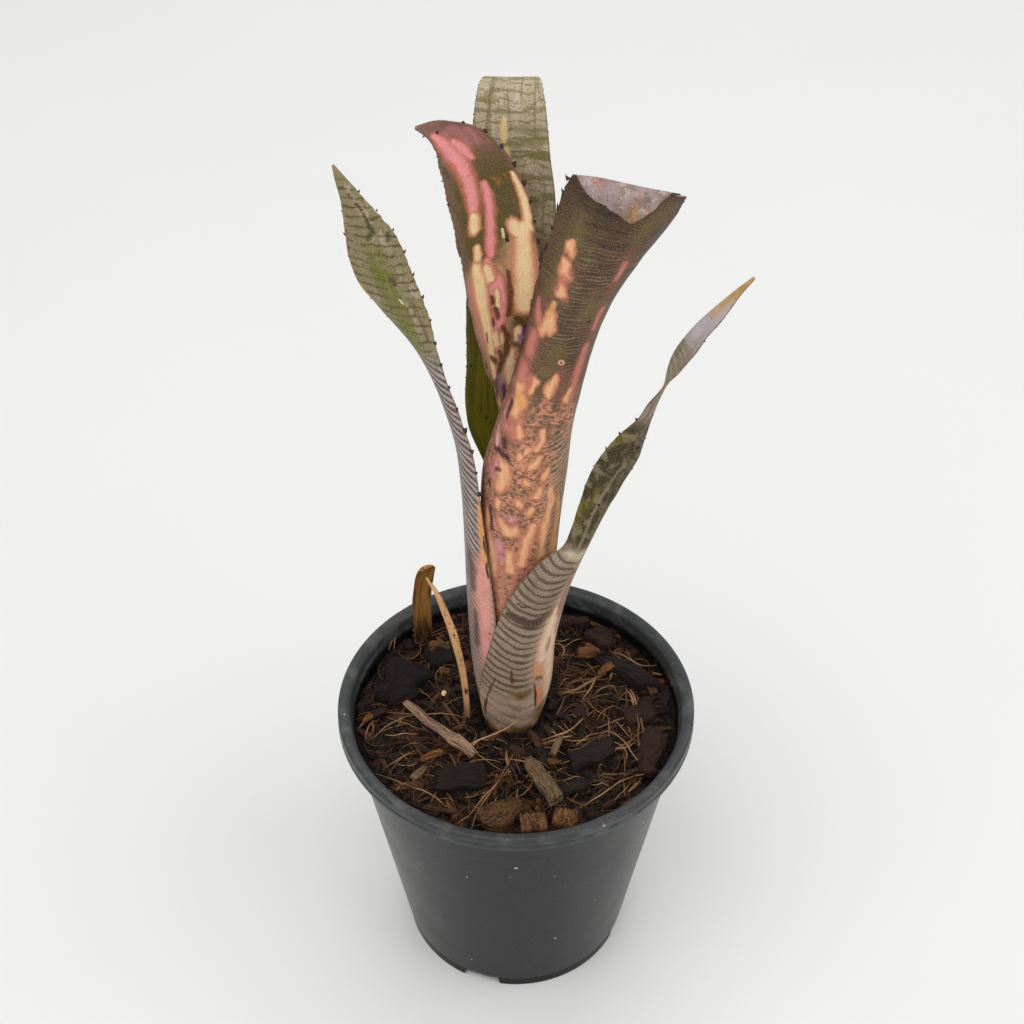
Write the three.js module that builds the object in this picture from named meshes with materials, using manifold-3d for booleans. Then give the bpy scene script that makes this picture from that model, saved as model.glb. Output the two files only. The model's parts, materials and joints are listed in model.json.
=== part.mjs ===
// A billbergia, a tube-shaped bromeliad, growing in bark mix in a 13 cm nursery pot.
// Millimetres, +Z up. The origin is on the table, under the middle of the pot.
import * as THREE from "three";
import { mergeVertices } from "three/addons/utils/BufferGeometryUtils.js";
import Module from "manifold-3d";

const wasm = await Module();
wasm.setup();

// Pot
const potHeight = 117;
const rimRadius = 65;
const rimDepth = 6;
const rimInnerRadius = 60.4;
const rimDrop = 0.8;
const wallTopRadius = 61.4;
const wallFootRadius = 43.9;
const wallThickness = 1.4;
const ledgeHeight = 97;
const ledgeStep = 0.6;
const footRadius = 43.2;
const footWidth = 2.2;
const footHeight = 4.3;
const floorThickness = 1.6;
const potSides = 56;
const notchCount = 4;
const notchWidth = 15;
const notchFirstAngle = -108;
const drainRadius = 5;
const drainSlot = { length: 12, width: 5 };

// Potting mix
const mixHeight = 107;
const mixGap = 0.4;
const mixRelief = 1.5;
const mixRings = 8;
const mixSpokes = 36;
const chipCount = 32;
const wellRadius = 15;
const wellFloor = 98;
const pieceGap = 0.3;
const recessGrowth = 2;

// Rosette
const tubeCentre = { x: -2.2, y: 4 };
const leafFoot = 99.4;
const leafThickness = 0.9;
const marginThickness = 0.7;
const spineSpacing = 8.5;
const spineLength = 1.7;
const spineBase = 1.8;
const leastHalfWidth = 0.3;
const stem = { radius: 6.6, top: 114, shoulder: 109 };

const colours = {
  pot: { color: 0x2c2f30, roughness: 0.55, metalness: 0 },
  mix: { color: 0x2a1a12, roughness: 0.95, metalness: 0 },
  darkBark: { color: 0x33241f, roughness: 0.9, metalness: 0 },
  tanBark: { color: 0x8a6a48, roughness: 0.85, metalness: 0 },
  stem: { color: 0x5a3a1c, roughness: 0.8, metalness: 0 },
  hoodLeaf: { color: 0xb98a62, roughness: 0.45, metalness: 0 },
  tallLeaf: { color: 0x9a9280, roughness: 0.7, metalness: 0 },
  funnelLeaf: { color: 0x8a6a58, roughness: 0.6, metalness: 0 },
  bandedLeaf: { color: 0x857a68, roughness: 0.7, metalness: 0 },
  dryLeaf: { color: 0xa07a45, roughness: 0.8, metalness: 0 },
};

const upwards = new THREE.Vector3(0, 0, 1);
const radians = (degrees) => (degrees * Math.PI) / 180;

// A repeatable random number between 0 and 1.
function seededRandom(seed) {
  let state = seed;
  return () => {
    state = (state * 1664525 + 1013904223) % 4294967296;
    return state / 4294967296;
  };
}

function toSolid(geometry) {
  const bare = geometry.index ? geometry.toNonIndexed() : geometry.clone();
  bare.deleteAttribute("normal");
  bare.deleteAttribute("uv");
  const merged = mergeVertices(bare, 1e-4);
  return new wasm.Manifold(
    new wasm.Mesh({
      numProp: 3,
      vertProperties: merged.attributes.position.array,
      triVerts: new Uint32Array(merged.index.array),
    }),
  );
}

function toGeometry(solid) {
  const mesh = solid.getMesh();
  const geometry = new THREE.BufferGeometry();
  geometry.setAttribute("position", new THREE.BufferAttribute(mesh.vertProperties, 3));
  geometry.setIndex(new THREE.BufferAttribute(mesh.triVerts, 1));
  geometry.computeVertexNormals();
  return geometry;
}

function namedMesh(name, solid, look) {
  const mesh = new THREE.Mesh(toGeometry(solid), new THREE.MeshStandardMaterial(look));
  mesh.name = name;
  return mesh;
}

// Every column of the rows at t, which runs from 0 at the first row to 1 at the last, on a smooth curve.
function smoothRow(rows, t) {
  const place = t * (rows.length - 1);
  const i = Math.min(rows.length - 2, Math.floor(place));
  const f = place - i;
  const rowAt = (k) => rows[THREE.MathUtils.clamp(k, 0, rows.length - 1)];
  const [a, b, c, d] = [rowAt(i - 1), rowAt(i), rowAt(i + 1), rowAt(i + 2)];
  return b.map((value, k) => {
    const slopeIn = (c[k] - a[k]) / 2;
    const slopeOut = (d[k] - b[k]) / 2;
    const rise = c[k] - b[k];
    const cubic = slopeIn + slopeOut - 2 * rise;
    const square = 3 * rise - 2 * slopeIn - slopeOut;
    return value + f * (slopeIn + f * (square + f * cubic));
  });
}

// A leaf is a list of rows, from its foot to its tip. A row holds x, y and z of the midrib, the azimuth
// and the lift of the direction across it, the half width, and the curl, which is how far the margin has
// turned from the midrib. Angles are in degrees. This row wraps the tube of the rosette.
function sheathRow(radius, azimuth, halfSpan, z, leanX = 0) {
  const x = tubeCentre.x + leanX + radius * Math.cos(radians(azimuth));
  const y = tubeCentre.y + radius * Math.sin(radians(azimuth));
  return [x, y, z, azimuth + 90, 0, radius * radians(halfSpan), halfSpan];
}

// The midrib at t, with the directions along and across the leaf and the one that its inner face looks in.
function leafFrame(rows, t) {
  const row = smoothRow(rows, t);
  const step = 0.002;
  const before = new THREE.Vector3(...smoothRow(rows, Math.max(0, t - step)));
  const along = new THREE.Vector3(...smoothRow(rows, Math.min(1, t + step))).sub(before).normalize();
  const turn = radians(row[3]);
  const lift = radians(row[4]);
  const across = new THREE.Vector3(Math.cos(lift), 0, Math.sin(lift)).applyAxisAngle(upwards, turn);
  across.addScaledVector(along, -across.dot(along)).normalize();
  const inward = new THREE.Vector3().crossVectors(along, across);
  const middle = new THREE.Vector3(...row);
  return { middle, along, across, inward, half: Math.max(leastHalfWidth, row[5]), curl: radians(row[6]) };
}

// A point of a leaf: v runs from -1 to 1 across it, and depth is measured towards the inner face.
function leafPoint(frame, v, depth = 0) {
  const bend = Math.abs(frame.curl) < 0.02 ? 0.02 : frame.curl;
  const turned = bend * v;
  const side = (Math.sin(turned) / bend) * frame.half;
  const rise = ((1 - Math.cos(turned)) / bend) * frame.half;
  return frame.middle
    .clone()
    .addScaledVector(frame.across, side - Math.sin(turned) * depth)
    .addScaledVector(frame.inward, rise + Math.cos(turned) * depth);
}

function leafBlade(rows, stations, columns) {
  const points = [];
  const ring = 2 * (columns + 1);
  for (let s = 0; s <= stations; s++) {
    const frame = leafFrame(rows, s / stations);
    for (const face of [1, -1]) {
      for (let c = 0; c <= columns; c++) {
        const v = face * ((2 * c) / columns - 1);
        const thick = THREE.MathUtils.lerp(leafThickness, marginThickness, v * v);
        points.push(...leafPoint(frame, v, (face * thick) / 2));
      }
    }
  }
  const faces = [];
  for (let s = 0; s < stations; s++) {
    for (let k = 0; k < ring; k++) {
      const [a, b] = [s * ring + k, s * ring + ((k + 1) % ring)];
      const [c, d] = [a + ring, b + ring];
      // The two faces share their diagonals, so that a thin twisted blade doesn't cross itself.
      if (k < columns + 1) faces.push(a, d, b, a, c, d);
      else faces.push(a, c, b, b, c, d);
    }
  }
  const last = stations * ring;
  for (let a = 0; a < columns; a++) {
    const [b, c, d] = [a + 1, ring - 2 - a, ring - 1 - a];
    faces.push(a, b, c, a, c, d, last + a, last + c, last + b, last + a, last + d, last + c);
  }
  const geometry = new THREE.BufferGeometry();
  geometry.setAttribute("position", new THREE.Float32BufferAttribute(points, 3));
  geometry.setIndex(faces);
  return toSolid(geometry);
}

// A three-sided spine that stands out of a margin and leans towards the tip of the leaf.
function marginSpine(rows, t, side) {
  const frame = leafFrame(rows, t);
  const edge = leafPoint(frame, side);
  const outward = edge.clone().sub(leafPoint(frame, side * 0.9)).normalize();
  const normal = new THREE.Vector3().crossVectors(outward, frame.along).normalize();
  const root = edge.clone().addScaledVector(outward, -0.9);
  const corners = [
    root.clone().addScaledVector(frame.along, -spineBase / 2),
    root.clone().addScaledVector(frame.along, spineBase / 2).addScaledVector(normal, 0.3),
    root.clone().addScaledVector(frame.along, spineBase / 2).addScaledVector(normal, -0.3),
    edge.clone().addScaledVector(outward, spineLength).addScaledVector(frame.along, spineLength / 2),
  ];
  const geometry = new THREE.BufferGeometry();
  geometry.setAttribute("position", new THREE.Float32BufferAttribute(corners.flatMap((p) => [...p]), 3));
  geometry.setIndex([0, 1, 2, 0, 3, 1, 1, 3, 2, 2, 3, 0]);
  return toSolid(geometry);
}

function leafLength(rows) {
  const steps = 60;
  const middles = Array.from({ length: steps + 1 }, (_, k) => leafFrame(rows, k / steps).middle);
  return middles.slice(1).reduce((sum, middle, k) => sum + middle.distanceTo(middles[k]), 0);
}

// The blade with its spines fused on, alternating along the share of its length that bears them.
function leafSolid({ rows, stations = 24, columns = 6, spines = [0.4, 0.95] }) {
  let solid = leafBlade(rows, stations, columns);
  const [from, to] = spines;
  const count = Math.floor((leafLength(rows) * (to - from)) / spineSpacing);
  for (let k = 0; k < 2 * count; k++) {
    const side = k % 2 ? 1 : -1;
    const t = from + ((to - from) * (k + 0.5)) / (2 * count);
    solid = solid.add(marginSpine(rows, t, side));
  }
  return solid;
}

const leaves = {
  leaf_hood: {
    look: colours.hoodLeaf,
    columns: 8,
    rows: [
      sheathRow(7.8, 125, 105, leafFoot),
      sheathRow(7.8, 125, 105, 140, 0.8),
      sheathRow(7.9, 120, 92, 180, 2.2),
      sheathRow(8, 118, 82, 215, 4),
      [-0.4, 14.8, 245, 205, 0, 11.8, 72],
      [-4.2, 14.4, 272, 200, 0, 13.6, 62],
      [-6.4, 13.5, 298, 194, 0, 13.6, 52],
      [-9.6, 11.5, 318, 190, -5, 12.6, 46],
      [-15.4, 8.4, 333, 188, -25, 9.6, 42],
      [-22, 5, 339.5, 186, -50, 4.8, 40],
      [-28, 2, 341.5, 185, -65, 0.5, 30],
    ],
    spines: [0.45, 0.92],
  },
  leaf_tall: {
    look: colours.tallLeaf,
    columns: 8,
    rows: [
      sheathRow(9.3, 98, 96, leafFoot),
      sheathRow(9.3, 98, 96, 140, 0.8),
      sheathRow(9.6, 98, 92, 180, 2.4),
      sheathRow(9.7, 95, 78, 211, 3.6),
      [-2.8, 19.8, 233, 186, 0, 15.6, 50],
      [-2.2, 20, 258, 184, 0, 15.2, 42],
      [-1.4, 19, 286, 182, 0, 14.2, 36],
      [-1, 18.4, 308, 180, 0, 12.4, 30],
      [-1.4, 19.6, 325, 180, 0, 10.8, 24],
      [-1.7, 23.4, 337.4, 180, 0, 9.4, 14],
      [-1.5, 30, 341.6, 180, 0, 7.8, 8],
      [-1.3, 38, 338, 180, 0, 5.4, 8],
      [-1, 46, 330, 180, 0, 0.5, 8],
    ],
    spines: [0.35, 0.9],
  },
  leaf_funnel: {
    look: colours.funnelLeaf,
    stations: 28,
    columns: 10,
    rows: [
      sheathRow(10.9, -82, 145, leafFoot),
      sheathRow(11.4, -83, 142, 135, 1),
      sheathRow(12.4, -84, 132, 170, 2.2),
      sheathRow(13, -85, 120, 200, 3.4),
      sheathRow(13.4, -84, 99, 222, 5),
      [7.4, -8.6, 243, 6, 0, 19.8, 98],
      [12, -7, 263, 6, 0, 17.6, 96],
      [16.2, -7, 281, 6, 0, 18, 94],
      [22, -8.6, 300, 4, -4, 18.8, 78],
      [28.4, -9, 317.5, 2, -8, 18.6, 52],
      [30.4, -8.8, 325, 0, -12, 16.4, 16],
      [31.2, -10, 328.4, 0, -14, 14.8, -6],
      [31.4, -12.6, 327.2, 0, -14, 11.4, -8],
      [31.2, -13.6, 323.6, 0, -10, 5.4, -6],
      [31, -13.6, 320, 0, 0, 0.5, -6],
    ],
    spines: [0.28, 0.74],
  },
  leaf_left: {
    look: colours.bandedLeaf,
    rows: [
      sheathRow(12.4, 190, 75, leafFoot),
      sheathRow(12.8, 189, 72, 135, -0.4),
      sheathRow(13.3, 188, 66, 166, -1.2),
      [-16.9, 2.6, 190, 282, 0, 12.6, 52],
      [-17.2, 2.4, 210, 288, 0, 9.4, 42],
      [-18.6, 2.2, 230, 292, 0, 7.6, 36],
      [-22.8, 2.2, 248, 296, 0, 6.6, 34],
      [-28, 2.4, 264, 306, 0, 6.8, 34],
      [-34.4, 2.8, 278, 330, 0, 9.2, 34],
      [-40.2, 3.2, 292, 344, 0, 9.4, 28],
      [-43.8, 3.8, 305, 348, 0, 7.4, 26],
      [-46.8, 4.4, 316, 350, 0, 4, 22],
      [-51.4, 5, 329, 350, 0, 0.4, 15],
    ],
    spines: [0.3, 0.9],
  },
  leaf_right: {
    look: colours.bandedLeaf,
    stations: 30,
    rows: [
      sheathRow(14, -74, 78, leafFoot),
      sheathRow(14.5, -73, 75, 125, 0.4),
      [4.2, -11.4, 148, 20, 0, 15.6, 60],
      [8, -12.4, 170, 18, 0, 13, 54],
      [13, -13.2, 187, 14, 0, 9.2, 52],
      [18.6, -12.6, 198, 6, 0, 4.8, 55],
      [21.4, -12.4, 208, -6, 0, 4, 40],
      [27.2, -14.4, 229, -12, 0, 5.4, 34],
      [32.8, -16.4, 243, -6, 0, 5, 30],
      [38.6, -18.4, 257, 34, 0, 3.6, 28],
      [42.2, -20, 267.5, 60, 0, 3.4, 24],
      [46.8, -21.2, 280, 104, 0, 4, 24],
      [54.8, -23.4, 295.5, 124, 0, 2.6, 20],
      [64.2, -26, 310.4, 124, 0, 0.4, 15],
    ],
    spines: [0.48, 0.9],
  },
  leaf_old: {
    look: colours.dryLeaf,
    stations: 18,
    columns: 4,
    rows: [
      sheathRow(12.4, 26, 34, leafFoot),
      sheathRow(12.5, 28, 34, 125, 0.9),
      [14.6, 8, 150, 92, 0, 7.2, 36],
      [20.4, 4.6, 176, 66, 0, 6.4, 32],
      [26.4, -0.4, 201, 46, 0, 5.2, 28],
      [32.6, -6, 225, 36, 0, 4.4, 26],
      [37.2, -8.6, 238, 34, 0, 3.4, 24],
    ],
    spines: [0.6, 0.95],
  },
  leaf_stub: {
    look: colours.dryLeaf,
    stations: 12,
    columns: 4,
    rows: [
      [-36, 40.6, leafFoot, 205, 0, 4.2, 60],
      [-36.6, 41, 116, 205, 0, 4.4, 60],
      [-36.4, 41.4, 130, 204, 0, 4.4, 55],
      [-35, 41, 140, 202, 0, 4.2, 50],
      [-33.6, 39.8, 145.4, 200, 0, 3.8, 44],
      [-32.4, 38.2, 146.8, 198, 0, 2.8, 40],
    ],
    spines: [0, 0],
  },
  leaf_bract: {
    look: colours.dryLeaf,
    stations: 14,
    columns: 4,
    rows: [
      [-18.8, 1, leafFoot, 285, 0, 2.8, 40],
      [-18.8, 0.6, 115, 290, 0, 3, 40],
      [-20.2, 0.8, 132, 300, 0, 3.2, 36],
      [-23.4, 1.6, 150, 310, 0, 3.2, 34],
      [-27.4, 2.6, 165, 315, 0, 2, 30],
      [-30.8, 3.4, 173, 320, 0, 0.4, 20],
    ],
    spines: [0, 0],
  },
};

// Holes in the mix for the stub and the bract, which stand apart from the tube.
const stemHoles = [
  { at: [-35.6, 39.8], size: [10, 5.6], turn: 25 },
  { at: [-18.8, 1], size: [4.4, 7.4], turn: 15 },
];

// Bark on the mix: place and height of the middle, length, width, thickness, then turn, pitch and roll.
const barkPieces = [
  { look: "darkBark", at: [-43, 14, 108.6], size: [24, 17, 6], turn: [70, 3, 4] },
  { look: "darkBark", at: [-27.4, 29.6, 109], size: [14, 9, 5], turn: [20, -6, 5] },
  { look: "tanBark", at: [-28, -9, 111], size: [36, 4.2, 1.8], turn: [-43, 3, 12] },
  { look: "darkBark", at: [-20, -31, 109.4], size: [18, 11, 3.6], turn: [12, 4, 6] },
  { look: "tanBark", at: [-4.8, -47, 109.4], size: [18, 11, 5], turn: [35, 5, 0] },
  { look: "tanBark", at: [9, -33, 110.6], size: [25, 7, 4], turn: [-66, -8, 8] },
  { look: "tanBark", at: [5.8, -52, 108.6], size: [9.6, 7.4, 7], turn: [4, 0, 10] },
  { look: "tanBark", at: [16.6, -50.4, 109.2], size: [8.4, 8, 7.4], turn: [-14, 0, 10] },
  { look: "darkBark", at: [32.6, 39.2, 109], size: [13, 10, 4.4], turn: [-30, 0, -6] },
  { look: "tanBark", at: [27.4, 29.6, 110.4], size: [7.6, 11, 4], turn: [-20, 0, -28] },
  { look: "darkBark", at: [19, 46.6, 109.4], size: [19, 6.4, 4.4], turn: [6, -4, 0] },
  { look: "darkBark", at: [43, 20, 109.2], size: [28, 8.6, 4.6], turn: [-38, -3, 0] },
  { look: "darkBark", at: [45.4, -0.4, 108.8], size: [13, 11, 4], turn: [12, 0, 0] },
  { look: "darkBark", at: [48.4, -20, 109], size: [22, 8, 4.2], turn: [72, 2, 0] },
  { look: "darkBark", at: [27.6, -20, 108.8], size: [19, 8.4, 4], turn: [28, 2, 0] },
];

// A rough chunk: a box whose corners are pulled in by a seeded draw.
function barkSolid({ at, size, turn }, seed, grow = 0) {
  const random = seededRandom(seed);
  const box = new THREE.BoxGeometry(1, 1, 1, 3, 2, 1);
  const shape = mergeVertices(box.deleteAttribute("normal").deleteAttribute("uv"), 1e-4);
  const position = shape.attributes.position;
  for (let k = 0; k < position.count; k++) {
    const pull = () => 1 - 0.3 * random();
    const [x, y, z] = [position.getX(k) * pull(), position.getY(k) * pull(), position.getZ(k) * pull()];
    position.setXYZ(k, x * (size[0] + grow), y * (size[1] + grow), z * (size[2] + grow));
  }
  shape.rotateX(radians(turn[2])).rotateY(radians(turn[1])).rotateZ(radians(turn[0]));
  shape.translate(...at);
  return toSolid(shape);
}

function lathe(profile, sides) {
  const points = [...profile, profile[0]].map(([radius, z]) => new THREE.Vector2(radius, z));
  return toSolid(new THREE.LatheGeometry(points, sides).rotateX(Math.PI / 2));
}

function cylinder(radius, bottom, top, sides, x = 0, y = 0) {
  const geometry = new THREE.CylinderGeometry(radius, radius, top - bottom, sides).rotateX(Math.PI / 2);
  return toSolid(geometry.translate(x, y, (top + bottom) / 2));
}

function block(size, at, turn = 0) {
  return toSolid(new THREE.BoxGeometry(...size).rotateZ(radians(turn)).translate(...at));
}

const wallBase = { radius: wallFootRadius, z: footHeight + 1.2 };

// The outer radius of the pot's wall at a height, which steps out above the stacking ledge.
function wallRadius(z) {
  const underRim = potHeight - rimDepth;
  const slope = (wallTopRadius - ledgeStep - wallBase.radius) / (underRim - wallBase.z);
  return wallBase.radius + slope * (z - wallBase.z) + (z > ledgeHeight ? ledgeStep : 0);
}

// The notches in the foot, with the drain slots above them.
function potCuts() {
  const notchDepth = footHeight - 0.4;
  const notchReach = [footRadius - 8, footRadius + 1];
  const slotCentre = footRadius - 7;
  const cuts = [cylinder(drainRadius, 0, 2 * footHeight + floorThickness, 24)];
  for (let k = 0; k < notchCount; k++) {
    const angle = notchFirstAngle + (360 / notchCount) * k;
    const outwards = new THREE.Vector3(Math.cos(radians(angle)), Math.sin(radians(angle)), 0);
    const notchAt = outwards.clone().multiplyScalar((notchReach[0] + notchReach[1]) / 2);
    cuts.push(block([notchReach[1] - notchReach[0], notchWidth, 2 * notchDepth], notchAt.toArray(), angle));
    const slotAt = outwards.clone().multiplyScalar(slotCentre).setZ(footHeight);
    cuts.push(block([drainSlot.width, drainSlot.length, 2 * footHeight], slotAt.toArray(), angle));
  }
  return cuts;
}

function potSolid() {
  const underRim = potHeight - rimDepth;
  const innerTop = potHeight - rimDrop;
  const floorTop = footHeight + floorThickness;
  const grooveHeight = potHeight - 0.6 * rimDepth;
  const grooveDepth = 0.35;
  const overGroove = rimRadius - 0.1;
  const profile = [
    [0, footHeight],
    [footRadius - footWidth, footHeight],
    [footRadius - footWidth, 0],
    [footRadius, 0],
    [footRadius, footHeight],
    [wallBase.radius, wallBase.z],
    [wallRadius(ledgeHeight), ledgeHeight],
    [wallRadius(ledgeHeight + 0.5), ledgeHeight + 0.5],
    [wallRadius(underRim), underRim],
    [rimRadius - 0.6, underRim],
    [rimRadius, underRim + 0.6],
    [rimRadius, grooveHeight - 0.3],
    [rimRadius - grooveDepth, grooveHeight],
    [overGroove, grooveHeight + 0.3],
    [overGroove, potHeight - 0.9],
    [overGroove - 0.8, potHeight],
    [rimInnerRadius + 0.6, innerTop],
    [rimInnerRadius, innerTop - 0.6],
    [wallRadius(ledgeHeight) - wallThickness, ledgeHeight],
    [wallRadius(floorTop) - wallThickness, floorTop],
    [0, floorTop],
  ];
  return potCuts().reduce((pot, cut) => pot.subtract(cut), lathe(profile, potSides));
}

// The largest body that a cut has left.
function largestBody(solid) {
  return solid.decompose().reduce((best, body) => (body.volume() > best.volume() ? body : best));
}

// The body of the mix: a tapered plug with an uneven top.
function mixPlug() {
  const random = seededRandom(7);
  const bottom = footHeight + floorThickness + mixGap;
  const innerRadius = (z) => wallRadius(z) - wallThickness - mixGap;
  const topRadius = innerRadius(ledgeHeight);
  const onCircle = (radius, k, z) => {
    const angle = (2 * Math.PI * k) / mixSpokes;
    return [radius * Math.cos(angle), radius * Math.sin(angle), z];
  };
  const spokes = Array.from({ length: mixSpokes }, (_, k) => k);
  const points = [[0, 0, bottom], ...spokes.map((k) => onCircle(innerRadius(bottom), k, bottom))];
  for (let ring = mixRings; ring > 0; ring--) {
    const relief = ring === mixRings ? 0 : mixRelief;
    const radius = (topRadius * ring) / mixRings;
    points.push(...spokes.map((k) => onCircle(radius, k, mixHeight + relief * (2 * random() - 1))));
  }
  points.push([0, 0, mixHeight]);
  const faces = [];
  for (const k of spokes) {
    const next = (k + 1) % mixSpokes;
    faces.push(0, 1 + next, 1 + k);
    for (let ring = 0; ring < mixRings; ring++) {
      const low = 1 + ring * mixSpokes;
      const high = low + mixSpokes;
      faces.push(low + k, low + next, high + next, low + k, high + next, high + k);
    }
    const inmost = 1 + mixRings * mixSpokes;
    faces.push(inmost + k, inmost + next, points.length - 1);
  }
  const body = new THREE.BufferGeometry();
  body.setAttribute("position", new THREE.Float32BufferAttribute(points.flat(), 3));
  body.setIndex(faces);
  return toSolid(body);
}

// The mix with its small chips fused on, holes for the plant's stems and a recess for each piece of bark.
function mixSolid() {
  const random = seededRandom(23);
  let mix = mixPlug();
  for (let k = 0; k < chipCount; k++) {
    const angle = 2 * Math.PI * random();
    const radius = 20 + 34 * Math.sqrt(random());
    const at = [radius * Math.cos(angle), radius * Math.sin(angle), mixHeight + 0.4 + random()];
    const size = [5 + 7 * random(), 3 + 3 * random(), 3.4 + 1.6 * random()];
    const turn = [360 * random(), 30 * random() - 15, 30 * random() - 15];
    mix = mix.add(barkSolid({ at, size, turn }, 100 + k));
  }
  const holeTop = mixHeight + 10;
  mix = mix.subtract(cylinder(wellRadius, wellFloor, holeTop, 32, tubeCentre.x, tubeCentre.y));
  for (const hole of stemHoles) {
    const at = [hole.at[0], hole.at[1], (wellFloor + holeTop) / 2];
    mix = mix.subtract(block([...hole.size, holeTop - wellFloor], at, hole.turn));
  }
  barkPieces.forEach((piece, k) => {
    mix = mix.subtract(barkSolid(piece, k + 1, recessGrowth));
  });
  return largestBody(mix);
}

// The woody foot that the leaves grow round.
function stemSolid() {
  const foot = wellFloor + pieceGap;
  const profile = [
    [0, foot],
    [stem.radius - 1, foot],
    [stem.radius, foot + 1.5],
    [stem.radius, stem.shoulder],
    [stem.radius - 2, stem.top - 1],
    [0, stem.top],
  ];
  const post = lathe(profile, 20);
  return post.translate(tubeCentre.x, tubeCentre.y, 0);
}

const plant = new THREE.Group();
plant.add(namedMesh("pot", potSolid(), colours.pot));
plant.add(namedMesh("potting_mix", mixSolid(), colours.mix));
barkPieces.forEach((piece, k) => {
  plant.add(namedMesh(`bark_${k + 1}`, barkSolid(piece, k + 1), colours[piece.look]));
});
plant.add(namedMesh("stem_base", stemSolid(), colours.stem));
for (const [name, leaf] of Object.entries(leaves)) {
  plant.add(namedMesh(name, leafSolid(leaf), leaf.look));
}

export default plant;
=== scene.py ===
# A billbergia, a tube-shaped bromeliad, growing in bark mix in a nursery pot.
# Leaf, pot and soil sizes are written in millimetres and scaled to metres where a mesh is made.
import json
import math
import random
import bmesh
import bpy
import numpy as np
from mathutils import Euler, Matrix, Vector, noise

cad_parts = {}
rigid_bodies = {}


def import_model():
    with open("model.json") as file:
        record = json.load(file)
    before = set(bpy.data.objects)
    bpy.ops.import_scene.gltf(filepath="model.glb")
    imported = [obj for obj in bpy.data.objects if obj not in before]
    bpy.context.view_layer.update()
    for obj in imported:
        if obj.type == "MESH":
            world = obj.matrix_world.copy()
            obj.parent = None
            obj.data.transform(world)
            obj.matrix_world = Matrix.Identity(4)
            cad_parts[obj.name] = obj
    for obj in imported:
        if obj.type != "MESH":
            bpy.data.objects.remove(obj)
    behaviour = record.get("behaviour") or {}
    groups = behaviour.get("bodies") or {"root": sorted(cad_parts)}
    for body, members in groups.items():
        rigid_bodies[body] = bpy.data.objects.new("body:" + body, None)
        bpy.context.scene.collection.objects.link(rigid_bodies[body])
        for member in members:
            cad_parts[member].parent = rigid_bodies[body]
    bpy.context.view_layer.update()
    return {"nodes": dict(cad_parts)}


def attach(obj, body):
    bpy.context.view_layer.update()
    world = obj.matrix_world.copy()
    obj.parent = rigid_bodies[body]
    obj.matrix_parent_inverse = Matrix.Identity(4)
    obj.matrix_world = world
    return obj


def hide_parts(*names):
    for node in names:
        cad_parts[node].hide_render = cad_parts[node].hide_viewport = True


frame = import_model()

millimetre = 0.001
tubeCentre = (-2.2, 4.0)
leafFoot = 99.4
shown = bpy.context.scene.collection.objects


def colour(code):  # "#rrggbb" as the eye sees it, to a linear colour
    parts = [int(code[k:k + 2], 16) / 255 for k in (1, 3, 5)]
    return [(p / 12.92 if p <= 0.04045 else ((p + 0.055) / 1.055) ** 2.4) for p in parts] + [1.0]


def addNode(tree, kind, inputs=None, **settings):
    made = tree.nodes.new(kind)
    for key, value in settings.items():
        setattr(made, key, value)
    for key, value in (inputs or {}).items():
        if isinstance(value, bpy.types.NodeSocket):
            tree.links.new(value, made.inputs[key])
        else:
            made.inputs[key].default_value = value
    return made


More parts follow.
